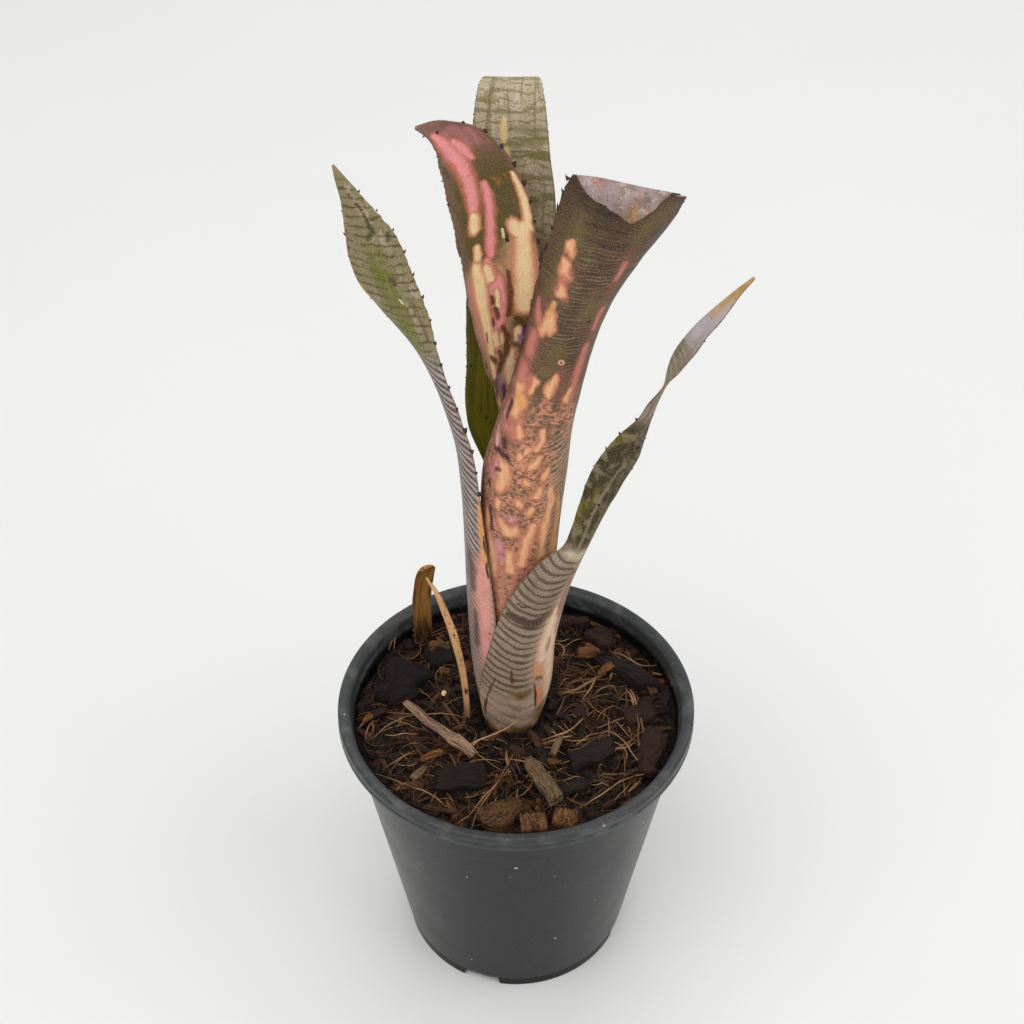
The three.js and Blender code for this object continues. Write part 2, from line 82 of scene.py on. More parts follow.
class Look:  # a material under construction, with short calls for the nodes it uses
    def __init__(self, name):
        self.material = bpy.data.materials.new(name)
        self.material.use_nodes = True
        self.tree = self.material.node_tree
        self.shader = self.tree.nodes["Principled BSDF"]

    def add(self, kind, inputs=None, **settings):
        return addNode(self.tree, kind, inputs, **settings)

    def attribute(self, name, output="Fac"):
        return self.add("ShaderNodeAttribute", attribute_name=name).outputs[output]

    def objectPoint(self):
        return self.add("ShaderNodeTexCoord").outputs["Object"]

    def math(self, operation, a, b=0.0):
        return self.add("ShaderNodeMath", {0: a, 1: b}, operation=operation).outputs[0]

    def split(self, vector):
        return self.add("ShaderNodeSeparateXYZ", {0: vector}).outputs

    def join(self, x, y, z=0.0):
        return self.add("ShaderNodeCombineXYZ", {0: x, 1: y, 2: z}).outputs[0]

    def step(self, value, low, high):
        inputs = {"Value": value, "From Min": low, "From Max": high}
        return self.add("ShaderNodeMapRange", inputs, interpolation_type="SMOOTHSTEP").outputs[0]

    def span(self, value, low, high, soft):  # 1 between low and high, fading out over soft
        rising = self.step(value, low - soft, low + soft)
        return self.math("MULTIPLY", rising, self.step(value, high + soft, high - soft))

    def noise(self, vector, scale=1.0, detail=3.0, rough=0.5, bend=0.0):
        inputs = {"Vector": vector, "Scale": scale, "Detail": detail, "Roughness": rough, "Distortion": bend}
        return self.add("ShaderNodeTexNoise", inputs).outputs[0]

    def stretch(self, vector, scale):
        return self.add("ShaderNodeMapping", {"Vector": vector, "Scale": scale}).outputs[0]

    def mix(self, amount, a, b):
        a, b = (colour(c) if isinstance(c, str) else c for c in (a, b))
        return self.add("ShaderNodeMix", {0: amount, 6: a, 7: b}, data_type="RGBA").outputs[2]

    def dots(self, vector, scale, size):  # round spots, of which the smaller ones drop out
        cell = self.add("ShaderNodeTexVoronoi", {"Vector": vector, "Scale": scale})
        chance = self.split(cell.outputs["Color"])[0]
        reach = self.math("MULTIPLY", self.step(chance, 0.45, 1.0), size)
        return self.step(self.math("DIVIDE", cell.outputs["Distance"], self.math("ADD", reach, 0.001)), 1.1, 0.7)

    def finish(self, base, roughness, height=None, relief=0.0001, specular=0.4):
        links = self.tree.links
        links.new(base, self.shader.inputs["Base Color"])
        if isinstance(roughness, bpy.types.NodeSocket):
            links.new(roughness, self.shader.inputs["Roughness"])
        else:
            self.shader.inputs["Roughness"].default_value = roughness
        self.shader.inputs["Specular IOR Level"].default_value = specular
        if height is not None:
            bump = self.add("ShaderNodeBump", {"Strength": 1.0, "Distance": relief, "Height": height})
            links.new(bump.outputs[0], self.shader.inputs["Normal"])
        return self.material


def meshObject(name, points, faces, material=None, smooth=True):
    mesh = bpy.data.meshes.new(name)
    mesh.from_pydata([tuple(p) for p in np.asarray(points) * millimetre], [], faces)
    mesh.update()
    if smooth:
        mesh.shade_smooth()
    if material:
        mesh.materials.append(material)
    made = bpy.data.objects.new(name, mesh)
    shown.link(made)
    return made


def storeNumbers(target, name, values):
    values = np.asarray(values, np.float32)
    kind = "FLOAT" if values.ndim == 1 else "FLOAT_VECTOR"
    layer = target.data.attributes.new(name, kind, "POINT")
    layer.data.foreach_set("value" if values.ndim == 1 else "vector", values.ravel())


def evaluatedMesh(source, name):  # what the modifiers of source make, as a plain object
    evaluated = source.evaluated_get(bpy.context.evaluated_depsgraph_get())
    mesh = bpy.data.meshes.new_from_object(evaluated)
    made = bpy.data.objects.new(name, mesh)
    shown.link(made)
    bpy.data.objects.remove(source)
    return made


def runTree(source, tree, values, name):
    modifier = source.modifiers.new(name, "NODES")
    modifier.node_group = tree
    for item in tree.interface.items_tree:
        if item.in_out == "INPUT" and item.name in values:
            modifier[item.identifier] = values[item.name]
    return evaluatedMesh(source, name)


def newTree(name, sockets):
    tree = bpy.data.node_groups.new(name, "GeometryNodeTree")
    tree.interface.new_socket("Geometry", in_out="INPUT", socket_type="NodeSocketGeometry")
    for title, kind in sockets.items():
        tree.interface.new_socket(title, in_out="INPUT", socket_type="NodeSocket" + kind)
    tree.interface.new_socket("Geometry", in_out="OUTPUT", socket_type="NodeSocketGeometry")
    return tree, tree.nodes.new("NodeGroupInput").outputs


def endTree(tree, geometry, material):  # instances made real, with their material
    real = addNode(tree, "GeometryNodeRealizeInstances", {0: geometry})
    finished = addNode(tree, "GeometryNodeSetMaterial", {"Geometry": real.outputs[0], "Material": material})
    tree.links.new(finished.outputs[0], tree.nodes.new("NodeGroupOutput").inputs[0])
    return tree


def place(piece, slot, *nodes):  # the piece rides on the plant's one body and stands for its nodes
    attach(piece, "root")
    if nodes:
        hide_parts(*nodes)
    return piece


def roughness3(points, scale, seed):  # smooth random numbers, from about -1 to 1, for a list of points
    shift = Vector((seed * 7.3, seed * 3.1, seed * 5.7))
    return np.array([noise.noise(Vector(p) * scale + shift) for p in points])


# A leaf is a list of rows from foot to tip: x, y and z of the midrib, the azimuth and the lift of the
# direction across it, the half width, and the curl that its margin has turned from the midrib.
def sheathRow(radius, azimuth, halfSpan, z, leanX=0.0):
    turn = math.radians(azimuth)
    x = tubeCentre[0] + leanX + radius * math.cos(turn)
    y = tubeCentre[1] + radius * math.sin(turn)
    return [x, y, z, azimuth + 90, 0, radius * math.radians(halfSpan), halfSpan]


def smoothRows(rows, t):
    table = np.array(rows, float)
    last = len(table) - 1
    spot = np.clip(t, 0, 1) * last
    index = np.minimum(last - 1, spot.astype(int))
    f = (spot - index)[:, None]
    a, b, c, d = (table[np.clip(index + k, 0, last)] for k in (-1, 0, 1, 2))
    slopeIn, slopeOut, rise = (c - a) / 2, (d - b) / 2, c - b
    cubic = slopeIn + slopeOut - 2 * rise
    return b + f * (slopeIn + f * (3 * rise - 2 * slopeIn - slopeOut + f * cubic))


def unit(vectors):
    return vectors / np.linalg.norm(vectors, axis=-1, keepdims=True)


def leafFrames(rows, t):
    near = 0.002
    row = smoothRows(rows, t)
    along = unit((smoothRows(rows, t + near) - smoothRows(rows, t - near))[:, :3])
    turn, lift = np.radians(row[:, 3]), np.radians(row[:, 4])
    across = np.stack([np.cos(turn) * np.cos(lift), np.sin(turn) * np.cos(lift), np.sin(lift)], -1)
    across = unit(across - along * (across * along).sum(1, keepdims=True))
    curl = np.radians(row[:, 6])
    return {
        "middle": row[:, :3], "along": along, "across": across, "inward": np.cross(along, across),
        "half": np.maximum(0.3, row[:, 5]), "curl": np.where(np.abs(curl) < 0.02, 0.02, curl),
    }


def leafPoints(frames, v, depth):  # v runs from -1 to 1 across the leaf, and depth towards its inner face
    turned = frames["curl"][:, None] * v
    size = (frames["half"] / frames["curl"])[:, None]
    side = size * np.sin(turned) - np.sin(turned) * depth
    rise = size * (1 - np.cos(turned)) + np.cos(turned) * depth
    middle, across, inward = (frames[k][:, None] for k in ("middle", "across", "inward"))
    return middle + across * side[..., None] + inward * rise[..., None]


def walked(points):  # the distance from the first point to each
    steps = np.linalg.norm(np.diff(points, axis=0), axis=1)
    return np.concatenate([[0], np.cumsum(steps)])


def strokeField(x, a, strokes, halfAt, seed, waver):  # 1 on a stroke's middle line, 0 on its edge
    flat = np.stack([x * 0.9, a * 0.5, np.zeros_like(x)], -1).reshape(-1, 3)
    x = x + waver * roughness3(flat, 0.55, seed).reshape(x.shape)
    a = a + 1.6 * waver * roughness3(flat, 0.55, seed + 1).reshape(x.shape)
    total = np.zeros(x.shape)
    for stroke in strokes:
        own = np.zeros(x.shape)
        knots = [(v * halfAt(along), along, radius) for v, along, radius in stroke]
        for (x0, a0, r0), (x1, a1, r1) in zip(knots, knots[1:]):
            length = (x1 - x0) ** 2 + (a1 - a0) ** 2 + 1e-9
            h = np.clip(((x - x0) * (x1 - x0) + (a - a0) * (a1 - a0)) / length, 0, 1)
            gap = np.hypot(x - x0 - h * (x1 - x0), a - a0 - h * (a1 - a0)) / (r0 + h * (r1 - r0))
            own = np.maximum(own, np.exp(-3 * gap ** 2))
        total += own
    return 1 - np.sqrt(-np.log(np.clip(total, 1e-9, 1)) / 3)


def leafObject(name, leaf, material):
    stations, columns = leaf["mesh"]
    t = np.linspace(0, leaf.get("end", 1.0), stations + 1)
    frames = leafFrames(leaf["rows"], t)
    along = walked(frames["middle"])
    halfAt = lambda a: np.interp(a, along, frames["half"])
    v = np.tile(np.linspace(-1, 1, columns + 1), (stations + 1, 1))
    x = v * frames["half"][:, None]
    a = np.repeat(along[:, None], columns + 1, 1)
    free = np.clip((a - leaf["free"]) / 30, 0, 1)  # the sheath keeps to its neighbours, the blade waves
    flat = np.stack([x, a, np.zeros_like(x)], -1).reshape(-1, 3)
    wave = roughness3(flat, 0.045, leaf["seed"]).reshape(x.shape) * leaf["wave"]
    ripple = roughness3(flat * [0.3, 1, 1], 0.13, leaf["seed"] + 1).reshape(x.shape) * leaf["ripple"]
    depth = free * (wave + ripple * np.abs(v) ** 3)
    for side, low, high, reach, rate in leaf.get("ragged", []):  # a torn or toothed margin
        pull = np.array([noise.noise(Vector((s * rate, side * 9.1, leaf["seed"]))) for s in along])
        saw = np.abs((along * rate * 0.9) % 1 - 0.5)
        pull = (0.6 * np.abs(pull) + 0.5 * saw) * reach * np.clip(np.minimum(along - low, high - along), 0, 1)
        v = v - side * np.where(v * side > 0, np.abs(v) ** 8, 0) * (pull / frames["half"])[:, None]
    edge = np.abs(v) ** 3
    thick = leaf["thick"] * (1 - edge) + 0.32 * edge
    inner = leafPoints(frames, v, depth + thick / 2)
    outer = leafPoints(frames, v, depth - thick / 2)
    wide = columns + 1
    points = np.concatenate([inner.reshape(-1, 3), outer.reshape(-1, 3)])
    back = inner.shape[0] * wide
    faces = []
    for s in range(stations):
        low, high = s * wide, (s + 1) * wide
        for c in range(columns):
            faces.append((low + c, low + c + 1, high + c + 1, high + c))
            faces.append((back + low + c + 1, back + low + c, back + high + c, back + high + c + 1))
        faces.append((low, high, back + high, back + low))
        faces.append((low + columns, back + low + columns, back + high + columns, high + columns))
    top = stations * wide
    for c in range(columns):
        faces.append((c, back + c, back + c + 1, c + 1))
        faces.append((top + c, top + c + 1, back + top + c + 1, back + top + c))
    made = meshObject(name, points, faces, material)
    twice = lambda values: np.concatenate([values.ravel(), values.ravel()])
    storeNumbers(made, "leafMap", np.stack([twice(x), twice(a), twice(x / frames["half"][:, None])], -1))
    storeNumbers(made, "inner", np.concatenate([np.ones(back), np.zeros(back)]))
    for layer, spec in leaf.get("paint", {}).items():
        field = strokeField(x, a, spec["strokes"], halfAt, leaf["seed"], spec.get("waver", 0.5))
        storeNumbers(made, "paint_" + layer, twice(field))
    return made


# A mark is a stretched noise, cut to a mask: bands across the leaf, streaks along it, clouds or speckles.
# A mark with a pitch is a row of lines across the leaf instead, that distance apart in millimetres.
def markMask(look, place3, mark):
    x, a, v = place3
    if "chevron" in mark:
        shifted = look.math("SUBTRACT", x, mark.get("vertex", 0.0))
        bow = look.math("SQRT", look.math("ADD", look.math("MULTIPLY", shifted, shifted), 6.0))
        a2 = look.math("ADD", a, look.math("MULTIPLY", bow, mark["chevron"]))
    elif "slope" in mark:
        a2 = look.math("ADD", a, look.math("MULTIPLY", x, mark["slope"]))
    else:
        a2 = a
    vector = look.join(
        look.math("MULTIPLY", x, mark["across"]), look.math("MULTIPLY", a2, mark["along"]), mark.get("seed", 0.0))
    value = look.noise(vector, 1.0, mark.get("detail", 2.0), 0.55, mark.get("bend", 0.0))
    if "pitch" in mark:
        sway = look.math("MULTIPLY", look.math("SUBTRACT", value, 0.5), mark.get("waver", 1.6))
        turn = look.math("FRACT", look.math("ADD", look.math("DIVIDE", a2, mark["pitch"]), sway))
        ramp = look.math("ABSOLUTE", look.math("SUBTRACT", turn, 0.5))
        grit = look.noise(look.join(x, a), 1.7, 3.0, 0.7)
        gaps = look.noise(look.join(look.math("MULTIPLY", x, 0.16), look.math("MULTIPLY", a2, 0.5)), 1.0, 2.0)
        ramp = look.math("ADD", ramp, look.math("MULTIPLY", look.math("SUBTRACT", grit, 0.5), mark.get("grit", 0.5)))
        value = look.math("ADD", ramp, look.math("MULTIPLY", look.math("SUBTRACT", gaps, 0.5), mark.get("gaps", 0.5)))
    mask = look.step(value, *mark["cut"])
    if "reach" in mark:
        mask = look.math("MULTIPLY", mask, look.span(a, *mark["reach"]))
    if "side" in mark:
        mask = look.math("MULTIPLY", mask, look.span(v, *mark["side"]))
    return look.math("MULTIPLY", mask, mark.get("strength", 1.0))


def skinColour(look, place3, skin):
    base = colour(skin["ground"])
    for mark in skin["marks"]:
        base = look.mix(markMask(look, place3, mark), base, mark["colour"])
    return base


def leafLook(name, leaf):
    look = Look(name)
    mapped = look.attribute("leafMap", "Vector")
    x, a, v = place3 = look.split(mapped)
    inner = look.attribute("inner")
    base = skinColour(look, place3, leaf["outer"])
    if "inner" in leaf:
        base = look.mix(look.step(inner, 0.4, 0.6), base, skinColour(look, place3, leaf["inner"]))
    flat = look.join(x, look.math("MULTIPLY", a, 0.75))
    grain = look.noise(flat, 1.1, 5.0, 0.75)
    coarse = look.noise(flat, 0.3, 3.0, 0.6)
    centred = lambda value, amount: look.math("MULTIPLY", look.math("SUBTRACT", value, 0.5), amount)
    for layer, spec in leaf.get("paint", {}).items():
        field = look.attribute("paint_" + layer)
        field = look.math("ADD", field, centred(grain, 1.5 * spec.get("grain", 0.5)))
        field = look.math("ADD", field, centred(coarse, spec.get("lumps", 0.3)))
        soft = 0.2 + 1.4 * spec.get("soft", 0.18)
        if "halo" in spec:
            rim = look.math("MULTIPLY", look.step(field, -spec.get("reach", 0.5), 0.05), spec.get("rim", 0.7))
            base = look.mix(rim, base, spec["halo"])
        tone = look.mix(look.step(coarse, 0.35, 0.7), spec["colour"], spec.get("colour2", spec["colour"]))
        if "fringe" in spec:
            tone = look.mix(look.step(field, 0.0, 0.4 + spec.get("core", 0.5)), spec["fringe"], tone)
        amount = look.math("MULTIPLY", look.step(field, -soft, soft), spec.get("strength", 0.92))
        base = look.mix(amount, base, tone)
    for mark in leaf.get("over", []):
        base = look.mix(markMask(look, place3, mark), base, mark["colour"])
    spots = leaf.get("spots")
    if spots:
        dotted = look.dots(flat, spots["rate"], spots["size"])
        base = look.mix(look.math("MULTIPLY", dotted, 0.8), base, spots["colour"])
    margin = look.step(look.math("ABSOLUTE", v), leaf["marginFrom"], 1.0)
    base = look.mix(look.math("MULTIPLY", margin, look.step(grain, 0.3, 0.6)), base, leaf["margin"])
    foot = look.step(look.math("ADD", a, centred(coarse, 10.0)), leaf["browned"] + 4, leaf["browned"] - 3)
    base = look.mix(foot, base, "#5e3f1c")
    fleck = look.noise(look.join(x, a), 2.1, 3.0, 0.75)
    base = look.mix(look.math("MULTIPLY", look.step(fleck, 0.52, 0.7), 0.26), base, "#ead8c2")
    base = look.mix(look.math("MULTIPLY", look.step(fleck, 0.48, 0.33), 0.36), base, "#2c211a")
    veins = look.noise(look.join(look.math("MULTIPLY", x, 1.5), look.math("MULTIPLY", a, 0.04)), 1.0, 2.0)
    height = look.math("ADD", look.math("MULTIPLY", veins, 1.0), look.math("MULTIPLY", grain, 0.35))
    height = look.math("ADD", height, look.math("MULTIPLY", fleck, 0.2))
    rough = look.math("ADD", look.math("MULTIPLY", grain, 0.25), leaf["gloss"])
    deeper = look.add("ShaderNodeGamma", {"Color": base, "Gamma": 1.12}).outputs[0]
    richer = look.add("ShaderNodeHueSaturation", {"Color": deeper, "Saturation": 1.03, "Value": 1.08}).outputs[0]
    return look.finish(richer, rough, height, leaf.get("relief", 0.00025), 0.2)


leaves = {}
leaves["leaf_hood"] = {
    "mesh": (400, 56), "seed": 3, "thick": 0.9, "wave": 0.4, "ripple": 0.6, "free": 120, "slot": "hooded_leaf",
    "rows": [
        sheathRow(5.6, 125, 105, leafFoot), sheathRow(7.8, 125, 105, 140, 0.8),
        sheathRow(7.9, 120, 92, 180, 2.2), sheathRow(8, 118, 82, 215, 4),
        [-0.4, 14.8, 245, 205, 0, 11.8, 72], [-4.2, 14.4, 272, 200, 0, 13.6, 62],
        [-6.4, 13.5, 298, 194, 0, 13.6, 52], [-9.6, 11.5, 318, 190, -5, 12.6, 46],
        [-15.4, 8.4, 333, 188, -25, 9.6, 42], [-22, 5, 339.5, 186, -50, 4.8, 40],
        [-28, 2, 341.5, 185, -65, 0.5, 30]],
    "ragged": [(1, 150, 248, 1.0, 0.42), (-1, 120, 215, 0.7, 0.3)],
    "inner": {"ground": "#665831", "marks": [
        {"colour": "#7c6440", "across": 0.12, "along": 0.05, "cut": (0.45, 0.65), "strength": 0.6},
        {"colour": "#8e6c62", "across": 0.07, "along": 0.03, "cut": (0.1, 0.4), "reach": (232, 300, 9)},
        {"colour": "#a67c72", "across": 0.2, "along": 0.12, "cut": (0.5, 0.65), "reach": (234, 300, 6),
         "strength": 0.7, "seed": 1.0},
        {"colour": "#a8703c", "across": 0.35, "along": 0.2, "cut": (0.58, 0.7), "strength": 0.75,
         "reach": (165, 235, 8), "side": (-0.75, 0.75, 0.1), "seed": 4.0},
        {"colour": "#7a6659", "across": 0.2, "along": 0.04, "cut": (0.2, 0.5), "side": (0.76, 2.0, 0.12)},
        {"colour": "#4d4a3c", "across": 0.5, "along": 0.1, "cut": (0.5, 0.65), "side": (0.7, 2.0, 0.12),
         "strength": 0.6, "seed": 2.0},
        {"colour": "#856458", "across": 0.2, "along": 0.05, "cut": (0.2, 0.6), "side": (-2.0, -0.9, 0.06)},
        {"colour": "#8d8054", "across": 1.5, "along": 1.0, "cut": (0.56, 0.7), "strength": 0.45, "seed": 7.0}]},
    "outer": {"ground": "#7a6359", "marks": [
        {"colour": "#a59a90", "pitch": 2.2, "across": 0.1, "along": 0.1, "cut": (0.28, 0.45), "strength": 0.55},
        {"colour": "#5d4740", "across": 0.05, "along": 0.5, "cut": (0.55, 0.65), "strength": 0.5, "seed": 2.0},
        {"colour": "#6b6236", "across": 0.1, "along": 0.03, "cut": (0.5, 0.7), "strength": 0.6, "seed": 5.0}]},
    "paint": {
        "wash": {"colour": "#e8c496", "colour2": "#eba89c", "soft": 0.5, "strength": 0.9, "lumps": 1.2, "strokes": [
            [(0.55, 190, 5.0), (0.5, 176, 5.0), (0.5, 160, 4.0)], [(-0.55, 196, 5.0), (-0.5, 180, 5.0)],
            [(0.15, 190, 4.0), (0.1, 176, 4.0), (0.2, 165, 3.0)], [(0.1, 158, 3.5), (0.4, 146, 4.0)]]},
        "blush": {"colour": "#cb8a8a", "colour2": "#b8807a", "soft": 0.5, "strength": 0.75, "lumps": 1.4, "strokes": [
            [(-0.45, 243, 1.6), (-0.3, 241, 2.0), (-0.15, 236, 1.6)], [(-0.1, 243.5, 1.2), (0.15, 244, 1.4)],
            [(-0.62, 240, 1.2), (-0.5, 236, 1.2)],
            [(0.9, 192, 0.9), (0.88, 178, 0.9), (0.9, 166, 0.8)], [(-0.88, 196, 0.7), (-0.9, 186, 0.8)]]},
        "pink": {"colour": "#fbaab0", "colour2": "#f4a4a2", "halo": "#9c5f38", "reach": 0.45, "soft": 0.26,
                 "fringe": "#d98c80", "core": 0.45, "strokes": [
            [(0.44, 247, 1.3), (0.47, 242, 2.3), (0.42, 237, 2.7), (0.33, 232, 2.7), (0.3, 226, 2.6),
             (0.33, 219, 2.4), (0.38, 212.5, 1.9)],
            [(0.12, 240, 1.2), (0.04, 235.5, 1.8), (-0.02, 231.5, 1.1)],
            [(-0.04, 222, 1.0), (-0.03, 217, 1.8), (0.02, 210, 1.6), (0.09, 203, 1.8), (0.14, 197, 1.5)],
            [(0.24, 195, 1.5), (0.2, 190, 2.6), (0.12, 183, 3.0), (0.07, 177, 2.8), (0.12, 172, 2.4)],
            [(0.0, 188, 1.4), (-0.02, 180, 1.6)], [(0.3, 171, 1.6), (0.33, 164, 1.5)]]},
        "cream": {"colour": "#ffe8b8", "colour2": "#fbdcb2", "halo": "#a8763f", "reach": 0.35, "soft": 0.16,
                  "fringe": "#e9a98c", "core": 0.35, "strokes": [
            [(0.4, 211.6, 1.9), (0.43, 207.5, 2.2)], [(0.46, 201, 1.4), (0.47, 198, 1.7)],
            [(-0.84, 224, 0.8), (-0.85, 219, 1.4), (-0.86, 213, 1.7), (-0.86, 206, 1.7)],
            [(-0.48, 206.6, 2.2), (-0.5, 203.5, 2.1)],
            [(-0.72, 206, 2.2), (-0.66, 200, 3.3), (-0.6, 193, 4.0), (-0.58, 186, 4.2), (-0.54, 181, 4.0),
             (-0.5, 176.5, 3.2)],
            [(0.55, 194.6, 2.2), (0.53, 190, 3.2), (0.53, 184, 3.2), (0.52, 178, 2.9), (0.5, 171, 2.4),
             (0.56, 164, 1.9), (0.72, 156, 1.5)],
            [(0.27, 192.5, 1.6), (0.22, 188.5, 1.8)], [(0.1, 184, 1.0), (0.08, 178, 1.1)],
            [(0.3, 169, 1.5), (0.32, 165.5, 1.6)], [(0.1, 168, 1.0), (0.14, 164.5, 1.1)],
            [(0.0, 160, 2.2), (0.12, 155, 2.4), (0.2, 150, 1.8)], [(0.86, 148, 1.4), (0.7, 141, 2.2)],
            [(0.5, 141, 2.2), (0.5, 135, 2.4)], [(-0.3, 168, 1.4), (-0.24, 164, 1.2)]]},
        "streak": {"colour": "#664522", "colour2": "#6f3a2b", "soft": 0.3, "lumps": 0.5, "strokes": [
            [(-0.22, 190, 0.7), (-0.22, 184, 1.0), (-0.2, 178, 1.0), (-0.12, 174, 0.9)],
            [(-0.3, 172.5, 0.6), (-0.42, 170.5, 0.9)],
            [(0.05, 170.5, 0.9), (0.0, 166, 1.2), (0.12, 160, 1.2), (0.35, 158, 1.4), (0.5, 155, 1.4)],
            [(0.24, 182.5, 0.6), (0.21, 180, 0.9)], [(0.17, 177.5, 0.8), (0.13, 174.5, 0.9)],
            [(0.28, 174.5, 0.5), (0.3, 172, 0.5)], [(0.55, 172, 0.35), (0.6, 168, 0.35)],
            [(0.62, 163, 0.7), (0.5, 160, 1.0)], [(0.3, 162, 0.8), (0.3, 159, 1.0)]]},
        "fleck": {"colour": "#e8dcb8", "soft": 0.0, "waver": 0.1, "strokes": [[(-0.2, 205, 0.4), (-0.21, 202, 0.5)]]},
        "bite": {"colour": "#1d120c", "soft": 0.0, "waver": 0.2, "strokes": [
            [(-0.27, 202.6, 0.5), (-0.27, 200.4, 0.6)], [(0.12, 246.5, 0.4), (0.14, 246.2, 0.4)],
            [(0.93, 163, 0.5), (0.93, 161.5, 0.4)], [(0.9, 150, 0.6), (0.86, 147.5, 0.5)]]},
        "lilac": {"colour": "#b98aa8", "colour2": "#9f6f92", "soft": 0.35, "strokes": [
            [(0.5, 153.5, 1.3), (0.5, 149, 1.6)], [(-0.34, 164.5, 1.2), (-0.3, 162.5, 1.0)]]},
        "purple": {"colour": "#5d2b56", "colour2": "#7b4478", "soft": 0.3, "strokes": [
            [(-0.5, 168, 1.5), (-0.46, 165.8, 1.3)], [(0.4, 150, 0.7), (0.44, 146, 1.4), (0.4, 143.5, 1.2)]]},
    },
    "spots": {"rate": 0.32, "size": 0.08, "colour": "#5b4030"},
    "margin": "#8a6f5c", "marginFrom": 0.965, "browned": 2, "gloss": 0.32,
}
leaves["leaf_tall"] = {
    "mesh": (340, 36), "seed": 5, "thick": 0.9, "wave": 0.5, "ripple": 0.5, "free": 130, "slot": "tall_leaf",
    "rows": [
        sheathRow(6.4, 98, 96, leafFoot), sheathRow(9.3, 98, 96, 140, 0.8),
        sheathRow(9.6, 98, 92, 180, 2.4), sheathRow(9.7, 95, 78, 211, 3.6),
        [-2.8, 19.8, 233, 186, 0, 15.6, 50], [-2.2, 20, 258, 184, 0, 15.4, 42],
        [-1.6, 19, 286, 182, 0, 14.6, 36], [-1.4, 18.4, 308, 180, 0, 13.4, 30],
        [-1.8, 19.6, 325, 180, 0, 11.8, 24], [-2.0, 23.4, 338.4, 180, 0, 10.2, 14],
        [-1.6, 30, 342.4, 180, 0, 8.4, 8], [-1.3, 38, 338, 180, 0, 5.4, 8], [-1, 46, 330, 180, 0, 0.5, 8]],
    "ragged": [(1, 150, 262, 0.45, 1.1), (-1, 195, 255, 0.35, 0.6)],
    "inner": {"ground": "#b1a48c", "marks": [
        {"colour": "#c9beaa", "across": 0.3, "along": 0.12, "cut": (0.5, 0.7), "strength": 0.7},
        {"colour": "#857c58", "pitch": 2.6, "across": 0.12, "along": 0.12, "cut": (0.3, 0.5), "strength": 0.8,
         "waver": 2.2, "gaps": 0.8},
        {"colour": "#6f6c42", "across": 0.06, "along": 0.3, "cut": (0.52, 0.62), "strength": 0.8, "seed": 3.0,
         "detail": 4.0, "reach": (195, 234, 5)},
        {"colour": "#77704f", "across": 0.8, "along": 0.04, "cut": (0.58, 0.68), "strength": 0.6, "seed": 8.0},
        {"colour": "#6d674b", "across": 1.3, "along": 1.3, "cut": (0.54, 0.64), "strength": 0.6, "detail": 3.0},
        {"colour": "#8f8530", "across": 0.2, "along": 0.02, "cut": (0.0, 0.2), "reach": (-20, 178, 9)},
        {"colour": "#6f722a", "across": 0.4, "along": 0.05, "cut": (0.42, 0.62), "reach": (-20, 178, 9),
         "strength": 0.85, "seed": 1.0},
        {"colour": "#4c5436", "across": 0.1, "along": 0.01, "cut": (0.0, 0.2), "reach": (160, 192, 8),
         "strength": 0.55}]},
    "outer": {"ground": "#90897b", "marks": [
        {"colour": "#b9b2a6", "pitch": 2.6, "across": 0.1, "along": 0.1, "cut": (0.26, 0.45), "strength": 0.7},
        {"colour": "#5f5a3a", "across": 0.05, "along": 0.5, "cut": (0.55, 0.65), "strength": 0.6, "seed": 3.0},
        {"colour": "#6b6a3a", "across": 0.2, "along": 0.03, "cut": (0.5, 0.7), "strength": 0.6}]},
    "paint": {
        "band": {"colour": "#736e40", "colour2": "#857e54", "soft": 0.5, "strength": 0.75, "lumps": 0.8, "strokes": [
            [(0.3, 229.8, 0.9), (-0.3, 230, 1.2), (-0.95, 231, 1.2)], [(0.9, 242, 0.6), (0.6, 242.6, 1.5)],
            [(-0.4, 239.5, 0.5), (-0.95, 240, 0.8)], [(0.95, 249, 0.5), (0.2, 248.4, 0.4), (-0.9, 249, 0.5)],
            [(0.0, 226, 0.8), (-0.95, 226.6, 0.9)], [(0.1, 219.6, 0.7), (-0.95, 220, 0.8)]]},
        "cream": {"colour": "#dcc193", "soft": 0.3, "lumps": 0.4, "waver": 0.2, "strokes": [
            [(0.17, 237, 0.7), (0.18, 234, 1.1), (0.17, 231, 0.9)], [(0.1, 228.4, 0.8), (0.06, 226, 0.7)]]},
        "line": {"colour": "#6f6a4a", "soft": 0.4, "strength": 0.7, "strokes": [
            [(0.56, 249, 0.35), (0.6, 240, 0.5), (0.62, 232, 0.35)], [(-0.86, 248, 0.4), (-0.86, 244, 0.3)]]},
        "bite": {"colour": "#1f1d10", "soft": 0.0, "waver": 0.1, "strokes": [
            [(0.5, 134, 0.4), (0.52, 133, 0.4)], [(0.9, 156, 0.4), (0.9, 155, 0.4)], [(0.56, 118, 0.5), (0.58, 117, 0.5)],
            [(-0.7, 232, 0.3), (-0.7, 231.4, 0.3)]]},
    },
    "spots": {"rate": 0.3, "size": 0.07, "colour": "#4c4a30"},
    "margin": "#6a5f48", "marginFrom": 0.965, "browned": 3, "gloss": 0.42,
}
